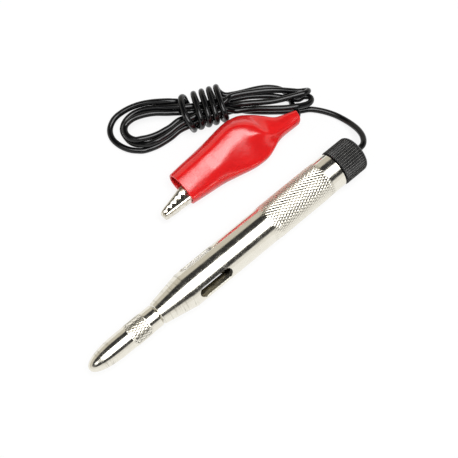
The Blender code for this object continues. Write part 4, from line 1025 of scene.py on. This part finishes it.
def make_needle(steel):
    tip_x, rear = NEEDLE_LOW.x, NEEDLE_HIGH.x
    head_front = rear - NEEDLE_HEAD_LENGTH
    edge_radius = NEEDLE_HEAD_RADIUS - NEEDLE_EDGE
    shape = turned([
        (tip_x, 0), (tip_x + NEEDLE_TIP_ROWS[0], NEEDLE_POINT_RADIUS * NEEDLE_TIP_SHARE),
        (tip_x + NEEDLE_TIP_ROWS[1], NEEDLE_POINT_RADIUS),
        (tip_x + NEEDLE_POINT_LENGTH, NEEDLE_RADIUS), (head_front, NEEDLE_RADIUS), (head_front, edge_radius),
        (head_front + NEEDLE_EDGE, NEEDLE_HEAD_RADIUS), (rear - NEEDLE_EDGE, NEEDLE_HEAD_RADIUS),
        (rear, edge_radius), (rear, 0),
    ], NEEDLE_SIDES)
    item = add_piece(shape, "ground_needle", [steel])
    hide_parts("probe_needle")
    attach(item, "tester")


def make_end_cap(plastic):
    segments = RIB_COUNT * RIB_STEPS
    phase = np.arange(segments) % RIB_STEPS / RIB_STEPS
    groove = RIB_DEPTH * (1 - (0.5 + 0.5 * np.cos(phase * math.tau)) ** RIB_SHARPNESS)
    side_start = END_CAP_FRONT + END_CAP_RIM
    edge_start = PEN_REAR - END_CAP_EDGE_RADIUS
    rows = [(PLUG_FRONT, CUP_RADIUS + FIT_GAP), (PLUG_FRONT, PLUG_RADIUS - EDGE_CHAMFER),
            (PLUG_FRONT + EDGE_CHAMFER, PLUG_RADIUS), (END_CAP_FRONT, PLUG_RADIUS),
            (END_CAP_FRONT, END_CAP_RADIUS - END_CAP_RIM - groove / 2)]
    for step in range(END_CAP_SIDE_ROWS + 1):
        place = side_start + (edge_start - side_start) * step / END_CAP_SIDE_ROWS
        rows.append((place, END_CAP_RADIUS - groove))
    for step in range(1, END_CAP_EDGE_ROWS + 1):
        angle = math.pi / 2 * step / END_CAP_EDGE_ROWS
        radius = END_CAP_RADIUS - END_CAP_EDGE_RADIUS * (1 - math.cos(angle))
        place = edge_start + END_CAP_EDGE_RADIUS * math.sin(angle)
        rows.append((place, radius - groove * max(0, 1 - step / RIB_FADE_ROWS)))
    rows += [(PEN_REAR, CORD_HOLE_RADIUS + CORD_HOLE_CHAMFER),
             (PEN_REAR - CORD_HOLE_CHAMFER, CORD_HOLE_RADIUS),
             (CUP_REAR, CORD_HOLE_RADIUS), (CUP_REAR, CUP_RADIUS + FIT_GAP)]
    item = add_piece(turned(rows, segments, closed=True), "ribbed_end_cap", [plastic])
    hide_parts("end_cap")
    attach(item, "end_cap")


def smooth_table(table, place):
    """Reads a table of rows by their first value, with a smooth curve through them."""
    index = max(0, min(len(table) - 2, sum(1 for row in table[1:-1] if row[0] <= place)))
    before, start = table[max(0, index - 1)], table[index]
    end, after = table[index + 1], table[min(len(table) - 1, index + 2)]
    width = end[0] - start[0]
    t = (place - start[0]) / width
    values = []
    for column in range(1, len(start)):
        slope_in = (end[column] - before[column]) / max(end[0] - before[0], 1e-9) * width
        slope_out = (after[column] - start[column]) / max(after[0] - start[0], 1e-9) * width
        values.append((2 * t ** 3 - 3 * t ** 2 + 1) * start[column] + (t ** 3 - 2 * t ** 2 + t) * slope_in
                      + (3 * t ** 2 - 2 * t ** 3) * end[column] + (t ** 3 - t ** 2) * slope_out)
    return values


def jaw_stations():
    """Places along a jaw, each with -1 or 1 where a tooth's valley or tip is, else 0."""
    front = [(-JAW_FRONT + NOSE_ROUNDING * share, 0) for share in NOSE_STATIONS]
    teeth = []
    for index in range(round((TOOTH_ROW_END - TOOTH_ROW_START) / (TOOTH_PITCH / 2)) + 1):
        teeth.append((TOOTH_ROW_START + index * TOOTH_PITCH / 2, 1 if index % 2 else -1))
    ears = (-EAR_SHOULDER, -EAR_HALF_LENGTH, 0, EAR_HALF_LENGTH, EAR_SHOULDER)
    middle = [((TOOTH_ROW_END - EAR_HALF_LENGTH) / 2, 0), *[(place, 0) for place in ears]]
    tail = [(TAIL_FRONT + (JAW_REAR - TAIL_FRONT) * step / TAIL_STEPS, 0) for step in range(TAIL_STEPS + 1)]
    return front + teeth + middle + tail


def jaw_section(place, tooth, side, ear_half_width):
    """The folded sheet's outline at one place: out along its outside from edge to edge and back inside."""
    half_widths = [(-JAW_FRONT, TIP_HALF_WIDTH), (-EAR_SHOULDER, ear_half_width),
                   (EAR_SHOULDER, ear_half_width), (TAIL_NARROW_FROM, TAIL_HALF_WIDTH),
                   (JAW_REAR, TAIL_HALF_WIDTH)]
    places, widths = zip(*half_widths)
    back = smooth_table(JAW_SPREAD, place)[0]
    width = float(np.interp(place, places, widths))
    edge = FIT_GAP / 2
    if abs(place) <= EAR_HALF_LENGTH:
        edge = -EAR_REACH
    elif place > EAR_HALF_LENGTH:
        edge = back - TAIL_WALL
    height = back - max(edge, FIT_GAP / 2)
    bend = min(JAW_BEND_RADIUS, BEND_HEIGHT_SHARE * height, BEND_WIDTH_SHARE * width)
    edge += side * tooth * TOOTH_DEPTH / 2
    reach = min(1, max(0, (place + JAW_FRONT) / NOSE_ROUNDING))
    nose = NOSE_END_SHARE + (1 - NOSE_END_SHARE) * math.sqrt(1 - (1 - reach) ** 2)
    sheet = min(SHEET, SHEET_BEND_SHARE * bend)
    lean = JAW_LEAN * (back - bend - edge) if place < -EAR_HALF_LENGTH else 0
    outer, inner = [(edge, width - lean)], [(edge, width - lean - sheet)]
    for step in range(JAW_BEND_STEPS + 1):
        angle = math.pi / 2 * step / JAW_BEND_STEPS
        for outline, radius in ((outer, bend), (inner, bend - sheet)):
            outline.append((back - bend + radius * math.sin(angle), width - bend + radius * math.cos(angle)))
    if place < -JAW_FRONT + NOSE_SOLID:
        inner = [(edge, z) for _, z in inner]
    middle = (back + edge) / 2
    ring = [*outer, *[(y, -z) for y, z in reversed(outer)], *[(y, -z) for y, z in inner], *reversed(inner)]
    return [(place, side * (middle + (y - middle) * (0.5 + 0.5 * nose)), z * nose) for y, z in ring]


def rod(start, end, radius, sides=32):
    """A round bar between two places in the clip's axes, as a cutter."""
    start, end = Vector(start), Vector(end)
    turn = (end - start).to_track_quat("Z", "Y").to_matrix().to_4x4()
    shape = bmesh.new()
    bmesh.ops.create_circle(shape, cap_ends=True, segments=sides, radius=radius)
    bottom = shape.faces[:]
    top = bmesh.ops.extrude_face_region(shape, geom=bottom)["geom"]
    corners = [item for item in top if isinstance(item, bmesh.types.BMVert)]
    bmesh.ops.translate(shape, verts=corners, vec=(0, 0, (end - start).length))
    bmesh.ops.transform(shape, verts=shape.verts, matrix=CLIP_AXES @ Matrix.Translation(start) @ turn)
    bmesh.ops.recalc_face_normals(shape, faces=shape.faces)
    return linked("rod", mesh_from(shape, "rod"))


def make_jaw(name, old_name, body, side, ear_half_width, sheet):
    """A jaw folded from sheet with a toothed edge, a closed nose, ears at the rivet and a tail."""
    shape = bmesh.new()
    rings = []
    for place, tooth in jaw_stations():
        section = jaw_section(place, tooth, side, ear_half_width)
        rings.append([shape.verts.new(CLIP_AXES @ Vector(point)) for point in section])
    join_rings(shape, rings)
    half = len(rings[0]) // 2
    for ring in (rings[0], rings[-1]):
        for index in range(half - 1):
            shape.faces.new((ring[index], ring[index + 1], ring[-2 - index], ring[-1 - index]))
    bmesh.ops.remove_doubles(shape, verts=shape.verts, dist=TOUCHING)
    bmesh.ops.recalc_face_normals(shape, faces=shape.faces)
    cutters = [rod((0, 0, -RIVET_CUT), (0, 0, RIVET_CUT), RIVET_HOLE_RADIUS)]
    if side < 0:
        near, far = [(SCREW_PLACE, depth, 0) for depth in SCREW_CUT]
        cutters.append(rod(near, far, SCREW_HOLE_RADIUS))
    item = add_piece(shape_from(carved(shape, cutters)), name, [sheet], sharp_angle=40)
    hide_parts(old_name)
    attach(item, body)
    return item


def make_clip_spring(steel):
    """The torsion spring round the rivet, with a leg on each jaw's tail."""
    leg_side = smooth_table(JAW_SPREAD, SPRING_LEG)[0] - SHEET - FIT_GAP - SPRING_WIRE_RADIUS
    lean = math.atan2(leg_side - SPRING_RADIUS, SPRING_LEG)
    sweep = math.pi - 2 * lean + math.tau * SPRING_TURNS
    rise = (2 * SPRING_WIRE_RADIUS + FIT_GAP) * sweep / math.tau
    points = [(SPRING_LEG, -leg_side, -rise / 2)]
    for step in range(SPRING_STEPS + 1):
        share = step / SPRING_STEPS
        angle = -math.pi / 2 - lean - sweep * share
        across, up = SPRING_RADIUS * math.cos(angle), SPRING_RADIUS * math.sin(angle)
        points.append((across, up, rise * (share - 0.5)))
    points.append((SPRING_LEG, leg_side, rise / 2))
    route = tube("spring_route", [CLIP_AXES @ Vector(point) for point in points], SPRING_WIRE_RADIUS,
                 resolution=3)
    mesh = evaluated_mesh(route)
    bpy.data.objects.remove(route)
    item = add_piece(shape_from(mesh), "torsion_spring", [steel])
    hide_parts("clip_spring")
    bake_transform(item)
    return item


def rounded(corners, rounds):
    """A smooth open outline near a row of corners: each round cuts every corner off at a quarter."""
    for _ in range(rounds):
        cuts = [corners[0]]
        for (y, z), (next_y, next_z) in zip(corners, corners[1:]):
            cuts.append((0.75 * y + 0.25 * next_y, 0.75 * z + 0.25 * next_z))
            cuts.append((0.25 * y + 0.75 * next_y, 0.25 * z + 0.75 * next_z))
        corners = [*cuts, corners[-1]]
    return np.array(corners)


def boot_top(place, left, right):
    """The upper half of the boot's outline from left to right: flank, crest, gentle and steep slope."""
    crest, crest_height, foot, foot_height, knee = smooth_table(BOOT_TOPS, min(place, BOOT_TOPS[-1][0]))
    bow = ((crest + foot) / 2, (crest_height + foot_height) / 2 + BOOT_BOW)
    flank = left - crest
    outline = rounded([
        (left, 0), (left, BOOT_UPRIGHT_SHARE * crest_height),
        (left - BOOT_SHOULDER_IN * flank, BOOT_SHOULDER_UP * crest_height),
        (crest + BOOT_CREST_SHARE * flank, crest_height), (crest, crest_height), bow, (foot, foot_height),
        (BOOT_KNEE_SHARE * right, knee), (right, BOOT_UPRIGHT_SHARE * knee), (right, 0),
    ], BOOT_ROUNDING)
    return evenly(outline, count=BOOT_SIDES // 2 + 1)


def boot_ring(place):
    """The boot's outer outline at a place along the clip, in the clip's axes."""
    left, right, half_height = smooth_table(BOOT_SECTIONS, place)
    middle, half_width = (left + right) / 2, (left - right) / 2
    top = boot_top(place, left, right)
    oval = soft_step(place, *BOOT_TOP_FADE)
    mouth = MOUTH_SKEW * (1 - soft_step(place, *MOUTH_SKEW_FADE))
    neck = soft_step(place, *NECK_SKEW_FADE)
    crease = sum(math.exp(-((place - at) / CREASE_WIDTH) ** 2) for at in CREASE_PLACES)
    ring = []
    for index in range(BOOT_SIDES):
        angle = math.tau * index / BOOT_SIDES
        across, up = math.cos(angle), math.sin(angle)
        reach = (abs(across) ** BOOT_SQUARENESS + abs(up) ** BOOT_SQUARENESS) ** (-1 / BOOT_SQUARENESS)
        side, height = middle + half_width * across * reach, half_height * up * reach
        if index <= BOOT_SIDES // 2:
            side = side * oval + top[index][0] * (1 - oval)
            height = height * oval + top[index][1] * (1 - oval)
            creased = 1 - soft_step(abs(side), *CREASE_FADE)
            height -= CREASE_DEPTH * crease * creased
        skew = mouth * (side - right) - neck * (NECK_SKEW * (left - side) - NECK_TILT * height)
        ring.append((place + skew, side, height))
    return ring


def make_boot(vinyl):
    front, rear = BOOT_SECTIONS[0][0], BOOT_SECTIONS[-1][0]
    count = round((rear - front) / BOOT_STATION_SPACING)
    outer = np.array([boot_ring(front + (rear - front) * step / count) for step in range(count + 1)])
    along = np.gradient(outer, axis=0)
    around = (np.roll(outer, -1, axis=1) - np.roll(outer, 1, axis=1)) / 2
    normal = np.cross(around, along)
    normal /= np.linalg.norm(normal, axis=2, keepdims=True)
    inner = outer - normal * BOOT_SKIN
    rings = list(outer)
    for end, way in ((-1, 1), (0, -1)):
        middle = (outer[end] + inner[end]) / 2
        turns = [math.pi * step / BOOT_RIM_STEPS for step in range(1, BOOT_RIM_STEPS)]
        for turn in turns if end == -1 else turns[::-1]:
            out = normal[end] * math.cos(turn) * BOOT_SKIN / 2
            rim = middle + out
            rim[:, 0] += way * math.sin(turn) * BOOT_SKIN / 2
            rings.append(rim)
        if end == -1:
            rings.extend(inner[::-1])
    shape = bmesh.new()
    corners = [[shape.verts.new(CLIP_AXES @ Vector(point)) for point in ring] for ring in rings]
    join_rings(shape, corners, closed=True)
    bmesh.ops.recalc_face_normals(shape, faces=shape.faces)
    item = add_piece(shape, "vinyl_boot", [vinyl], sharp_angle=60)
    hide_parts("clip_boot")
    across = Matrix.Rotation(CLIP_TURN + BOOT_BLEND_TURN, 3, "Z") @ Vector((0, 1, 0))
    start, end = [CLIP_PLACE + across * reach for reach in BOOT_BLEND_REACH]
    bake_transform(item)
    return item


def wrap_route():
    """The five turns round the hank's middle, over the top and back along the underside."""
    points = []
    for turn, top in enumerate(WRAP_TOPS):
        last = turn == len(WRAP_TOPS) - 1
        for step in range(WRAP_STEPS // 2 + 1 if last else WRAP_STEPS):
            angle = math.pi - math.tau * step / WRAP_STEPS
            if step <= WRAP_STEPS / 2:
                share = 2 * step / WRAP_STEPS
                along = WRAP_BOTTOMS[turn] + (top - WRAP_BOTTOMS[turn]) * share
                along += WRAP_LEANS[turn] * math.sin(math.pi * share)
            else:
                share = 2 * step / WRAP_STEPS - 1
                along = top + (WRAP_BOTTOMS[turn + 1] - top) * share
            across, up = math.cos(angle), math.sin(angle)
            across = WRAP_HALF_WIDTH * math.copysign(abs(across) ** (2 / WRAP_SQUARENESS), across)
            up = WRAP_HALF_HEIGHT * math.copysign(abs(up) ** (2 / WRAP_SQUARENESS), up)
            points.append(WRAP_CENTRE + WRAP_ALONG * along + WRAP_ACROSS * across + Vector((0, 0, up)))
    return points


def smooth_route(points, spacing):
    """Evenly spaced points of a smooth curve through a route, as an array."""
    points = [np.array(point, float) for point in points]
    padded = [2 * points[0] - points[1], *points, 2 * points[-1] - points[-2]]
    fine = []
    for first, start, end, last in zip(padded, padded[1:], padded[2:], padded[3:]):
        near = np.linalg.norm(start - first) ** 0.5
        here = near + np.linalg.norm(end - start) ** 0.5
        past = here + np.linalg.norm(last - end) ** 0.5
        for t in np.linspace(near, here, ROUTE_SAMPLES, endpoint=False):
            one = ((near - t) * first + t * start) / near
            two = ((here - t) * start + (t - near) * end) / (here - near)
            three = ((past - t) * end + (t - here) * last) / (past - here)
            low = ((here - t) * one + t * two) / here
            high = ((past - t) * two + (t - near) * three) / (past - near)
            fine.append(((here - t) * low + (t - near) * high) / (here - near))
    return evenly(np.array([*fine, points[-1]]), spacing)


SETTLE_ROUNDS = 260
SETTLE_GAP = 2.04
SETTLE_NEIGHBOURS = 7
SETTLE_EASE = 6
SETTLE_PUSH = 0.35
SETTLE_SMOOTHING = 0.3
SETTLE_SMOOTH_EVERY = 5
SETTLE_LAST_ROUNDS = 30


def settle(path):
    """Pushes touching passes of the cord apart, spreads each push along it and keeps it on the table."""
    count = len(path)
    order = np.arange(count)
    apart = np.abs(order[:, None] - order[None, :]) > SETTLE_NEIGHBOURS
    held = np.minimum(order * CORD_STEP - HELD_AT_PEN, (count - 1 - order) * CORD_STEP - HELD_AT_CLIP)
    loose = np.clip(held / SETTLE_EASE, 0, 1)[:, None]
    kernel = np.hanning(2 * SETTLE_EASE + 3)[1:-1]
    kernel /= kernel.sum()
    place = path.copy()
    for step in range(SETTLE_ROUNDS):
        away = place[:, None] - place[None, :]
        far = np.linalg.norm(away, axis=2) + 1e-9
        short = np.where(apart & (far < SETTLE_GAP), SETTLE_GAP - far, 0)
        place = place + (away / far[..., None] * short[..., None]).sum(1) * SETTLE_PUSH * loose
        place[:, 2] = np.maximum(place[:, 2], CORD_RADIUS / MM)
        if step < SETTLE_ROUNDS - SETTLE_LAST_ROUNDS and (step + 1) % SETTLE_SMOOTH_EVERY == 0:
            shift = place - path
            for axis in range(3):
                wide = np.pad(shift[:, axis], SETTLE_EASE, mode="edge")
                even = np.convolve(wide, kernel, mode="valid")
                shift[:, axis] = (1 - SETTLE_SMOOTHING) * shift[:, axis] + SETTLE_SMOOTHING * even
            place = path + shift * loose
    return place


def make_cord(jacket):
    route = [*LEAD_ROUTE, *FIRST_LEFT_LOOP, *FIRST_RIGHT_FOLD, *SECOND_LEFT_LOOP, *SECOND_RIGHT_FOLD,
             *THIRD_LEFT_LOOP, *wrap_route(), *TAIL_ROUTE]
    path = smooth_route(settle(smooth_route(route, CORD_STEP)), CORD_FINE_STEP) * MM
    item = tube("test_lead", path, CORD_RADIUS, resolution=6)
    item.data.materials.append(jacket)
    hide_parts("lead_cord", "tail_cord", "cord_hank")
    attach(item, "tester")
    length = float(np.linalg.norm(np.diff(path, axis=0), axis=1).sum())
    return item, length


def dress(name, material):
    """Gives a carried-over part its material."""
    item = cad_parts[name]
    item.data.materials.clear()
    item.data.materials.append(material)
    return item


def round_edges(item, width):
    """Small rounded edges on a carried-over part."""
    bevel = item.modifiers.new("round edges", "BEVEL")
    bevel.width = width
    bevel.segments = 2
    bevel.limit_method = "ANGLE"
    bevel.angle_limit = math.radians(40)
    bevel.harden_normals = True


def main():
    scene = bpy.context.scene
    scene.view_settings.view_transform = "Standard"
    make_camera()
    make_floor()
    make_world()

    nickel = nickel_material("turned_nickel")
    barrel_knurl = nickel_material("barrel_knurl", BARREL_RADIUS + KNURL_CREST, BARREL_KNURL_DEPTH)
    cap_knurl = nickel_material("cap_knurl", TIP_CAP_RADIUS + KNURL_CREST, CAP_KNURL_DEPTH)
    bore = bore_material()
    sheet = sheet_nickel_material()
    steel = plain_metal("ground_steel", (0.58, 0.57, 0.55), (0.40, 0.38, 0.35), 0.22)
    brass = plain_metal("turned_brass", (0.75, 0.55, 0.24), (0.42, 0.29, 0.12), 0.25)
    copper = plain_metal("copper_strands", (0.78, 0.42, 0.26), (0.45, 0.22, 0.13), 0.3)
    tungsten = plain_metal("tungsten_wire", (0.42, 0.41, 0.40), (0.25, 0.24, 0.24), 0.35)
    vinyl = red_vinyl_material()
    jacket = cord_material()
    plastic = black_plastic_material()
    glass = bulb_glass_material()
    black_glass = black_glass_material()

    make_barrel(nickel, barrel_knurl, bore, milled_material())
    make_tip_cap(nickel, cap_knurl, bore)
    make_needle(steel)
    make_end_cap(plastic)
    boot = make_boot(vinyl)

    fixed = make_jaw("toothed_fixed_jaw", "fixed_jaw", "tester", -1, INNER_HALF_WIDTH, sheet)
    moving = make_jaw("toothed_moving_jaw", "moving_jaw", "moving_jaw", 1, OUTER_HALF_WIDTH, sheet)
    round_edges(dress("clip_rivet", sheet), RIVET_EDGE)
    spring = make_clip_spring(steel)
    for name in ("clip_screw", "contact_spring", "bulb_contact"):
        dress(name, steel)
    for name in ("socket_sleeve", "bulb_base", "wire_terminal"):
        dress(name, brass)
    dress("bulb_glass", glass)
    dress("bulb_bead", glass)
    dress("bulb_filament", tungsten)
    dress("bulb_insulator", black_glass)
    dress("wire_strands", copper)

    cord, length = make_cord(jacket)


main()
